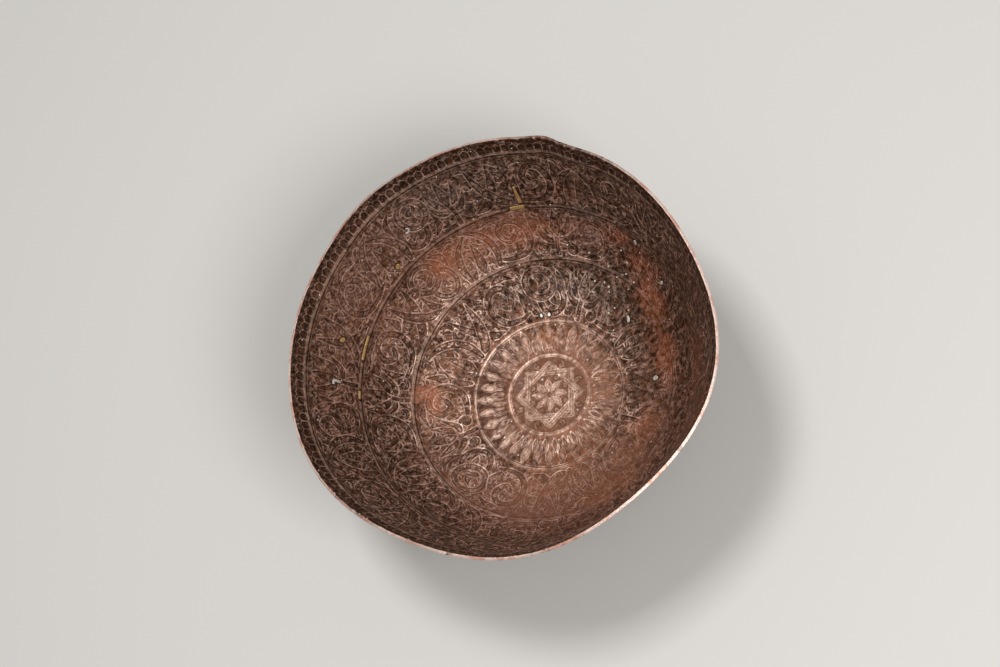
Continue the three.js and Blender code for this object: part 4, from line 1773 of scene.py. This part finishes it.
@dataclass(frozen=True)
class HammeredPatinatedBrass:
    """Copper alloy raised by hammer and left to darken, with handling wear on every raised edge.

    To the eye it is a dark brown skin, matt in the cuts and faintly bright on their edges, with
    copper-red, grey and orange patches where the skin is thin, and a bare pinkish lip. The thin
    bright line and the thin dark line at the edge of each cut are drawn here, from the distance
    to that edge, because they are finer than the mesh: partly rubbed metal and dirt, partly the
    painted highlight and painted shade of that edge. The outside, which was never chased, is
    smoother and more even.

    Attributes:
        skin_dark: darkest colour of the skin.
        skin: usual colour of the skin.
        pale: thin, pinkish skin, and the painted light of the pale patches.
        copper: copper-red patches.
        grey: grey patches and grey bloom.
        orange: orange patches and orange bloom.
        dirt_and_shade: dirt in the cuts and the pits, and the painted shade of the dark lines and of the band
            under the lip.
        burr: rubbed edges and rubbed ground, with the painted highlights on them.
        lip: bare metal of the lip, partly a painted highlight.
        speck: painted glints on bare metal.
        skin_gloss: specular level of the matt skin, where 0.5 is usual for a clean smooth film.
        patch_mm: size of the patches of patina.
        grey_mm: size of the clouds of grey bloom.
        orange_mm: size of the clouds of orange bloom.
        mottle_mm: size of the fine mottling of the skin.
        curl_mm: size of the worn curls of the ground, drawn a little coarser than the real ones.
        fleck_mm: size of the flecks where a curl is rubbed through, painted as bright glints of bare metal.
        rub_mm: spacing of the spots where the edges of the cuts are rubbed.
        grain_mm: size of the pits of the hammered skin, drawn coarse so that they show.
        speck_mm: spacing of the painted glints.
        relief_mm: height of the finest relief, which is left to the shader.
        rubbed_off: share of each bright or dark line that is gone where the mark of wear and painted shade is
            1.
    """

    skin_dark: str = "#2f1a0b"
    skin: str = "#5a341b"
    pale: str = "#b07c64"
    copper: str = "#d0784d"
    grey: str = "#857c76"
    orange: str = "#b06b3b"
    dirt_and_shade: str = "#24160f"
    burr: str = "#f6d2be"
    lip: str = "#ffe2d4"
    speck: str = "#fdf3e9"
    skin_gloss: float = 0.2
    patch_mm: float = 7.0
    grey_mm: float = 3.1
    orange_mm: float = 2.3
    mottle_mm: float = 1.8
    curl_mm: float = 1.1
    fleck_mm: float = 0.5
    rub_mm: float = 3.5
    grain_mm: float = 0.45
    speck_mm: float = 1.6
    relief_mm: float = 0.13
    rubbed_off: float = 0.66

    def build(self) -> bpy.types.Material:
        """Makes the material.

        Returns:
            The material.
        """
        material, tree = new_material("hammered_patinated_brass")
        add = partial(add_node, tree)
        of = self.sources(add)
        of |= self.lines(add, of)
        of |= self.bare_metal(add, of)
        of["speck"] = self.glints(add, of)

        mottled = add("MapRange", {0: of["mottle"], 1: 0.32, 2: 0.7}, **EASED)
        colour = add("MixRGB", {"Fac": mottled, "Color1": srgb(self.skin_dark), "Color2": srgb(self.skin)})
        for share, paint in self.coats(add, of):
            colour = add("MixRGB", {"Fac": share, "Color1": colour, "Color2": srgb(paint)})
        reddened = add("MapRange", {0: of["patches"], 1: 0.44, 2: 0.6, 4: 0.55}, **EASED)
        lip = add("MixRGB", {"Fac": reddened, "Color1": srgb(self.lip), "Color2": srgb(self.copper)})
        colour = add("MixRGB", {"Fac": of["bare_lip"], "Color1": colour, "Color2": lip})

        pits = add("Math", {0: of["grain"], 1: of["rough_skin"]}, **TIMES)
        raised = ("worn_curl", 0.6), ("curl_crest", 0.6), ("crest", 1.0)
        relief = self.weigh(add, of, pits, *raised, ("curl_groove", -0.4), ("groove", -1.0))
        bump = add("Bump", {"Height": relief, "Distance": self.relief_mm * MM, "Strength": 0.85})
        metallic = self.weigh(
            add, of, 0.55, ("bright", 0.3), ("bare_lip", -0.3), ("speck", -0.4), ("smooth", 0.2),
        )
        roughness = self.weigh(add, of, 0.46, ("grain", 0.2), ("bright", -0.2), ("smooth", -0.12))
        shader = add("BsdfPrincipled", {
            "Base Color": colour, "Metallic": metallic, "Roughness": roughness,
            "Specular IOR Level": self.skin_gloss, "Normal": bump,
        })
        add("OutputMaterial", {"Surface": shader})
        return material

    @staticmethod
    def band(add: AddNode, value: Feed, low: float, full: float, fade: float, high: float) -> Feed:
        """Share that rises from 0 at low to 1 at full, and falls from fade to 0 at high.

        Args:
            add: adds a node to the material.
            value: what it follows.
            low: value up to which it is 0.
            full: value from which it is 1.
            fade: value up to which it is 1.
            high: value from which it is 0.

        Returns:
            The share.
        """
        rise = add("MapRange", {0: value, 1: low, 2: full}, **EASED)
        fall = add("MapRange", {0: value, 1: high, 2: fade}, **EASED)
        return add("Math", {0: rise, 1: fall}, **TIMES)

    @staticmethod
    def weigh(add: AddNode, of: dict[str, Feed], start: Feed | float, *shares: tuple[str, float]) -> Feed:
        """Adds a share of each named mark to a start.

        Args:
            add: adds a node to the material.
            of: the marks, by name.
            start: what they are added to.
            shares: name of each mark, and how much of it counts.

        Returns:
            The sum.
        """
        total = start
        for name, share in shares:
            total = add("Math", {0: of[name], 1: share, 2: total}, **TIMES_PLUS)
        return total

    def sources(self, add: AddNode) -> dict[str, Feed]:
        """Reads the marks of the mesh, and makes the patterns of the skin.

        Args:
            add: adds a node to the material.

        Returns:
            The marks and the patterns, by name.
        """
        found = {}
        for layer, names in BowlShell.LAYERS.items():
            marks = add("SeparateColor", {"Color": add("Attribute", attribute_name=layer)})
            found |= dict(zip(names, marks.outputs))
        where = add("TexCoord").outputs["Object"]
        for name, size, detail, roughness in (
            ("patches", self.patch_mm, 5, 0.62), ("mottle", self.mottle_mm, 4, 0.55),
            ("grain", self.grain_mm, 3, 0.55), ("grey_bloom", self.grey_mm, 3, 0.55),
            ("orange_bloom", self.orange_mm, 3, 0.55), ("rub", self.rub_mm, 3, 0.55),
            ("bits", self.fleck_mm, 1, 0.55),
        ):
            found[name] = add("TexNoise", {
                "Vector": where, "Scale": per_mm(size), "Detail": detail, "Roughness": roughness,
            })
        found["worm"] = add("TexNoise", {
            "Vector": where, "Scale": per_mm(self.curl_mm), "Detail": 0.5, "Distortion": 1.4,
        })
        found["cells"] = add("TexVoronoi", {"Vector": where, "Scale": per_mm(self.speck_mm)})
        found["rough_skin"] = add("Math", {0: found["smooth"], 1: -0.7, 2: 1.0}, **TIMES_PLUS)
        return found

    def lines(self, add: AddNode, of: dict[str, Feed]) -> dict[str, Feed]:
        """Draws the bright and the dark line at each cut, at each fine curl and at the worn curls: painted
        highlight and painted shade as well as rubbed metal and dirt.

        Args:
            add: adds a node to the material.
            of: the marks and the patterns, by name.

        Returns:
            Strength of each kind of line, by name.
        """
        edge = add("Math", {0: of["outline"], 1: 2 * REACH, 2: -REACH}, **TIMES_PLUS)  # mm, below 0 in a cut
        curl = add("Math", {0: of["line"], 1: REACH}, **TIMES)  # mm to a fine line
        keep = add("Math", {0: of["wear"], 1: -self.rubbed_off, 2: 1.0}, **TIMES_PLUS)
        away = add("Math", {0: edge}, operation="ABSOLUTE")
        ground = add("Math", {0: keep, 1: add("MapRange", {0: away, 1: 0.35, 2: 0.75}, **EASED)}, **TIMES)
        crest = add("Math", {0: keep, 1: self.band(add, edge, -0.14, 0.08, 0.3, 0.62)}, **TIMES)
        clean = add("Math", {0: of["deep"], 1: -0.9, 2: 1.0}, **TIMES_PLUS)
        on_curl = add("MapRange", {0: curl, 1: 0.55, 2: 0.18}, **EASED)

        worm = add("Math", {0: of["worm"], 1: 0.5}, operation="SUBTRACT")
        off_worm = add("Math", {0: worm}, operation="ABSOLUTE")
        # bits: bright flecks on the worn curls, partly bare metal, partly painted glints.
        bits = add("Math", {
            0: add("MapRange", {0: of["bits"], 1: 0.56, 2: 0.7}, **EASED),
            1: add("MapRange", {0: of["mottle"], 1: 0.35, 2: 0.6, 4: 0.9}, **EASED),
        }, **TIMES)
        worn = add("Math", {
            0: add("MapRange", {0: off_worm, 1: 0.045, 2: 0.012}, **EASED),
            1: add("MapRange", {0: of["mottle"], 1: 0.4, 2: 0.6}, **EASED),
        }, **TIMES)
        worn = add("Math", {0: worn, 1: bits}, **LARGER)
        sunk = add("MapRange", {0: of["mottle"], 1: 0.35, 2: 0.55}, **EASED)
        # crest and curl_crest are painted highlight on rubbed metal; groove, curl_groove and worn_groove
        # painted shade with dirt.
        return {
            "crest": add("Math", {0: crest, 1: clean}, **TIMES),
            "groove": add("Math", {0: keep, 1: self.band(add, edge, -0.85, -0.45, -0.3, -0.05)}, **TIMES),
            "curl_crest": add("Math", {0: ground, 1: on_curl}, **TIMES),
            "curl_groove": add("Math", {0: ground, 1: self.band(add, curl, 0.3, 0.6, 0.7, 1.1)}, **TIMES),
            "worn_curl": add("Math", {0: worn, 1: of["rough_skin"]}, **TIMES),
            "worn_groove": add("Math", {
                0: self.band(add, off_worm, 0.04, 0.06, 0.075, 0.11), 1: sunk,
            }, **TIMES),
        }

    def bare_metal(self, add: AddNode, of: dict[str, Feed]) -> dict[str, Feed]:
        """Finds where handling has rubbed the skin off, and the painted highlights that lie on the same
        places: edges, polished ground and the lip.

        Args:
            add: adds a node to the material.
            of: the marks, patterns and lines, by name.

        Returns:
            Share of bare metal and painted highlight of each kind, and the largest of them as bright.
        """
        broken = add("MapRange", {0: of["rub"], 1: 0.4, 2: 0.62}, **EASED)
        broken = add("Math", {0: broken, 1: 0.86, 2: 0.24}, **TIMES_PLUS)
        pitted = add("MapRange", {0: of["grain"], 1: 0.22, 2: 0.5}, **EASED)
        broken = add("Math", {0: broken, 1: pitted}, **TIMES)
        uneven = add("MapRange", {0: of["mottle"], 1: 0.34, 2: 0.56}, **EASED)
        uneven = add("Math", {0: uneven, 1: 0.55, 2: 0.55}, **TIMES_PLUS)
        broken = add("Math", {0: broken, 1: uneven}, **TIMES)

        # Bright edges and curls: rubbed metal with painted highlight.
        rubbed = add("Math", {0: of["crest"], 1: of["hammered"]}, **LARGER)
        for name, share in (("curl_crest", 0.6), ("worn_curl", 0.7)):
            rubbed = add("Math", {0: rubbed, 1: add("Math", {0: of[name], 1: share}, **TIMES)}, **LARGER)
        rubbed = add("Math", {0: rubbed, 1: broken}, **TIMES)
        shallow = add("Math", {0: of["deep"], 1: -0.85, 2: 1.0}, **TIMES_PLUS)
        rubbed = add("Math", {0: rubbed, 1: shallow}, **TIMES)

        scuffed = add("MapRange", {0: of["mottle"], 1: 0.25, 2: 0.6, 4: 0.85}, **EASED)
        ground = add("Math", {0: of["polish"], 1: scuffed}, **TIMES)
        lip = add("Math", {0: of["mottle"], 1: of["lip"]}, operation="ADD")
        lip = add("Math", {0: of["lip"], 1: add("MapRange", {0: lip, 1: 0.7, 2: 1.2}, **EASED)}, **TIMES)
        bright = add("Math", {0: lip, 1: add("Math", {0: rubbed, 1: ground}, **LARGER)}, **LARGER)
        return {"rubbed": rubbed, "rubbed_ground": ground, "bare_lip": lip, "bright": bright}

    def glints(self, add: AddNode, of: dict[str, Feed]) -> Feed:
        """Strews small painted glints over the inside, more and larger ones where the flecks mark asks.

        Args:
            add: adds a node to the material.
            of: the marks and the patterns, by name.

        Returns:
            Share of the glints.
        """
        cells = of["cells"].outputs
        chance = add("SeparateColor", {"Color": cells["Color"]})
        chance = add("Math", {0: of["flecks"], 1: 0.07, 2: chance}, **TIMES_PLUS)
        off_middle = add("Math", {0: of["flecks"], 1: -0.08, 2: cells["Distance"]}, **TIMES_PLUS)
        glint = add("Math", {
            0: add("MapRange", {0: off_middle, 1: 0.26, 2: 0.14}, **EASED),
            1: add("MapRange", {0: chance, 1: 0.972, 2: 0.978}, **EASED),
        }, **TIMES)
        below_lip = add("Math", {0: 1.0, 1: of["lip"]}, operation="SUBTRACT")
        skin = add("Math", {0: of["rough_skin"], 1: below_lip}, **TIMES)
        return add("Math", {0: glint, 1: skin}, **TIMES)

    def coats(self, add: AddNode, of: dict[str, Feed]) -> list[tuple[Feed, str]]:
        """Lists the colours that lie over the skin.

        Args:
            add: adds a node to the material.
            of: everything that the material has found so far, by name.

        Returns:
            Share and colour of each coat, from the lowest up.
        """
        ragged = add("Math", {0: of["mottle"], 1: 1.5, 2: -1.5}, **TIMES_PLUS)
        ragged = self.weigh(add, of, ragged, ("patches", 1.5), ("smooth", -0.22))
        coats = []
        # The pale coat is partly thin skin and partly painted light.
        for mark, paint, most in (
            ("pale", self.pale, 0.85), ("copper", self.copper, 0.85), ("orange", self.orange, 0.75),
            ("grey", self.grey, 0.7),
        ):
            stain = add("Math", {0: of[mark], 1: ragged}, operation="ADD")
            coats.append((add("MapRange", {0: stain, 1: 0.1, 2: 1.3, 4: most}, **EASED), paint))
        coats.append((add("MapRange", {0: of["grey_bloom"], 1: 0.52, 2: 0.7, 4: 0.22}, **EASED), self.grey))
        for pattern, low, high, most, where, paint in (
            ("orange_bloom", 0.5, 0.68, 0.36, "rough_skin", self.orange),
            ("grain", 0.52, 0.28, 0.65, "rough_skin", self.dirt_and_shade),
            ("patches", 0.38, 0.62, 0.5, "smooth", self.skin),
        ):
            cloud = add("MapRange", {0: of[pattern], 1: low, 2: high, 4: most}, **EASED)
            coats.append((add("Math", {0: cloud, 1: of[where]}, **TIMES), paint))
        # Dark lines and the band under the lip are painted shade in the dirt's colour; the bright coats after
        # them are painted highlight on rubbed metal.
        for mark, share, paint in (
            ("deep", 0.45, self.dirt_and_shade), ("shade", 0.6, self.dirt_and_shade), ("groove", 0.55, self.dirt_and_shade),
            ("curl_groove", 0.4, self.dirt_and_shade), ("worn_groove", 0.4, self.dirt_and_shade),
            ("rubbed_ground", 1.0, self.burr), ("rubbed", 0.95, self.burr), ("speck", 1.0, self.speck),
        ):
            coats.append((add("Math", {0: of[mark], 1: share}, **TIMES), paint))
        return coats


@dataclass(frozen=True)
class BeatenFoil:
    """Soft precious metal beaten into its seat: bright on the crowns, dull in the hammer dents.

    Attributes:
        name: name of the material.
        metal: colour of the clean metal.
        tarnish: colour of the tarnish that lies in the dents.
        roughness: roughness of the rubbed crowns.
        metallic: share of bare metal. The rest is the dull film on it, which takes light evenly.
        dent_mm: size of the dents.
        scratch_mm: size of the fine scratches, drawn coarse so that they show.
        scratch_depth: depth of the scratches, mm.
    """

    name: str
    metal: str
    tarnish: str
    roughness: float
    metallic: float = 0.6
    dent_mm: float = 0.9
    scratch_mm: float = 0.3
    scratch_depth: float = 0.05

    def build(self) -> bpy.types.Material:
        """Makes the material.

        Returns:
            The material.
        """
        material, tree = new_material(self.name)
        where = add_node(tree, "TexCoord").outputs["Object"]
        dents = add_node(tree, "TexNoise", {"Vector": where, "Scale": per_mm(self.dent_mm), "Detail": 3.0})
        scratches = add_node(tree, "TexNoise", {
            "Vector": where, "Scale": per_mm(self.scratch_mm), "Detail": 2.0,
        })
        dull = add_node(tree, "MapRange", {0: dents, 1: 0.42, 2: 0.62, 4: 0.75})
        colour = add_node(tree, "MixRGB", {
            "Fac": dull, "Color1": srgb(self.metal), "Color2": srgb(self.tarnish),
        })
        rough = add_node(tree, "Math", {0: dull, 1: 0.3, 2: self.roughness}, **TIMES_PLUS)
        bump = add_node(tree, "Bump", {
            "Height": scratches, "Distance": self.scratch_depth * MM, "Strength": 0.5,
        })
        shader = add_node(tree, "BsdfPrincipled", {
            "Base Color": colour, "Metallic": self.metallic, "Roughness": rough, "Normal": bump,
        })
        add_node(tree, "OutputMaterial", {"Surface": shader})
        return material


BEATEN_GOLD = BeatenFoil("beaten_gold", "#dcb87c", "#a5834f", 0.42)
BEATEN_SILVER = BeatenFoil("beaten_silver", "#f6f3ec", "#bdb8af", 0.4)


@dataclass(frozen=True)
class SoftBox:
    """Square soft light that faces the bowl.

    Attributes:
        name: name of the light.
        azimuth: azimuth at which it stands, degrees.
        elevation: its height above the horizon, degrees.
        distance: its distance from the bowl, m.
        size: its side, m.
        power: its power, W.
    """

    name: str
    azimuth: float
    elevation: float
    distance: float
    size: float
    power: float

    def hang(self) -> None:
        """Hangs the light."""
        azimuth, elevation = math.radians(self.azimuth), math.radians(self.elevation)
        level = math.cos(elevation)
        back = Vector((level * math.cos(azimuth), level * math.sin(azimuth), math.sin(elevation)))
        lamp = bpy.data.lights.new(self.name, "AREA")
        lamp.size = self.size
        lamp.energy = self.power
        softbox = bpy.data.objects.new(self.name, lamp)
        softbox.location = back * self.distance
        softbox.rotation_euler = back.to_track_quat("Z", "Y").to_euler()
        bpy.context.collection.objects.link(softbox)


@dataclass(frozen=True)
class Studio:
    """Plain pale floor, soft lights and the camera.

    Attributes:
        floor: colour of the floor.
        floor_reach: half width of the floor, m.
        floor_gap: from the floor up to the foot of the bowl, mm, so that no two faces share a plane.
        softboxes: soft lights, one overhead and one on the camera's side.
        sky: strength of the even light all round.
        tilt: of the camera from straight down, degrees.
        azimuth: azimuth of the camera, degrees.
        distance: from the camera to its target, mm.
        target_height: height of the target on the axis, mm.
        slide: how far the camera slides left and down from there, mm.
        lens: focal length, mm.
    """

    floor: str = "#d9d6d1"
    floor_reach: float = 3.0
    floor_gap: float = 0.03
    softboxes: tuple[SoftBox, ...] = (
        SoftBox("overhead", 115, 79, 1.25, 0.3, 6.6),
        SoftBox("beside_camera", -38, 48, 1.3, 0.45, 8.0),
    )
    sky: float = 0.28
    tilt: float = 26.5
    azimuth: float = -48.37
    distance: float = 806.5
    target_height: float = 36.4
    slide: tuple[float, float] = (10.78, -15.78)
    lens: float = 68.4

    def build(self) -> None:
        """Makes the floor, the lights and the camera."""
        self.lay_floor()
        for softbox in self.softboxes:
            softbox.hang()
        self.light_evenly()
        self.set_camera()
        view = bpy.context.scene.view_settings
        view.view_transform = "Standard"

    def lay_floor(self) -> None:
        """Lays the floor that the bowl stands on."""
        reach, level = self.floor_reach, -self.floor_gap * MM
        mesh = bpy.data.meshes.new("floor")
        corners = [(x * reach, y * reach, level) for x, y in ((-1, -1), (1, -1), (1, 1), (-1, 1))]
        mesh.from_pydata(corners, [], [(0, 1, 2, 3)])
        floor = bpy.data.objects.new("floor", mesh)
        bpy.context.collection.objects.link(floor)
        material, tree = new_material("matt_painted_board")
        shader = add_node(tree, "BsdfPrincipled", {"Base Color": srgb(self.floor), "Roughness": 0.8})
        add_node(tree, "OutputMaterial", {"Surface": shader.outputs["BSDF"]})
        mesh.materials.append(material)
        floor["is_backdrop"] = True

    def light_evenly(self) -> None:
        """Sets the even light all round."""
        world = bpy.data.worlds.new("even_light")
        world.use_nodes = True
        world.node_tree.nodes.clear()
        sky = add_node(world.node_tree, "Background", {"Color": srgb("#ffffff"), "Strength": self.sky})
        add_node(world.node_tree, "OutputWorld", {"Surface": sky.outputs["Background"]})
        bpy.context.scene.world = world

    def set_camera(self) -> None:
        """Places the camera at the photograph's viewing angle."""
        tilt, azimuth = math.radians(self.tilt), math.radians(self.azimuth)
        level = math.sin(tilt)
        back = Vector((level * math.cos(azimuth), level * math.sin(azimuth), math.cos(tilt)))
        up = (Vector((0, 1, 0)) - back.y * back).normalized()
        right = up.cross(back)
        place = Vector((0, 0, self.target_height)) + self.distance * back
        place -= self.slide[0] * right + self.slide[1] * up
        lens = bpy.data.cameras.new("camera")
        lens.lens = self.lens
        lens.sensor_width = 36  # mm
        lens.clip_start = 0.01  # m
        camera = bpy.data.objects.new("camera", lens)
        turn = Matrix((right, up, back)).transposed()
        camera.matrix_world = Matrix.Translation(place * MM) @ turn.to_4x4()
        bpy.context.collection.objects.link(camera)
        bpy.context.scene.camera = camera


def dress(piece: bpy.types.Object, material: bpy.types.Material, node: str) -> None:
    """Gives a piece its material, hangs it on the body, hides the solid that it stands for and logs the name
    of that solid.

    Args:
        piece: the piece.
        material: its material.
        node: solid that it stands for.
    """
    piece.data.materials.append(material)
    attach(piece, BODY)
    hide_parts(node)
    log.info("%s stands for %s: %d faces", piece.name, node, len(piece.data.polygons))


def main() -> None:
    """Builds the bowl, its inlay and the studio, in order."""
    logging.basicConfig(level=logging.INFO, format="%(name)s: %(message)s")
    Studio().build()
    shell = BowlShell()
    dress(shell.build(), HammeredPatinatedBrass().build(), "bowl_shell")
    foils = {Metal.GOLD: BEATEN_GOLD.build(), Metal.SILVER: BEATEN_SILVER.build()}
    runs = shell.rings.runs(shell.form)
    for number, inlay in enumerate(shell.inlays):
        piece = inlay.build(runs[inlay.ring] + inlay.above, shell.form, 40 + 2 * number)
        dress(piece, foils[inlay.metal], inlay.name)
    boxes = {"cad": cad_box, "visual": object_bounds()}
    sizes = {name: [list(corner) for corner in box] for name, box in boxes.items()}
    log.info("sizes in metres: %s", sizes)


if __name__ == "__main__":
    main()
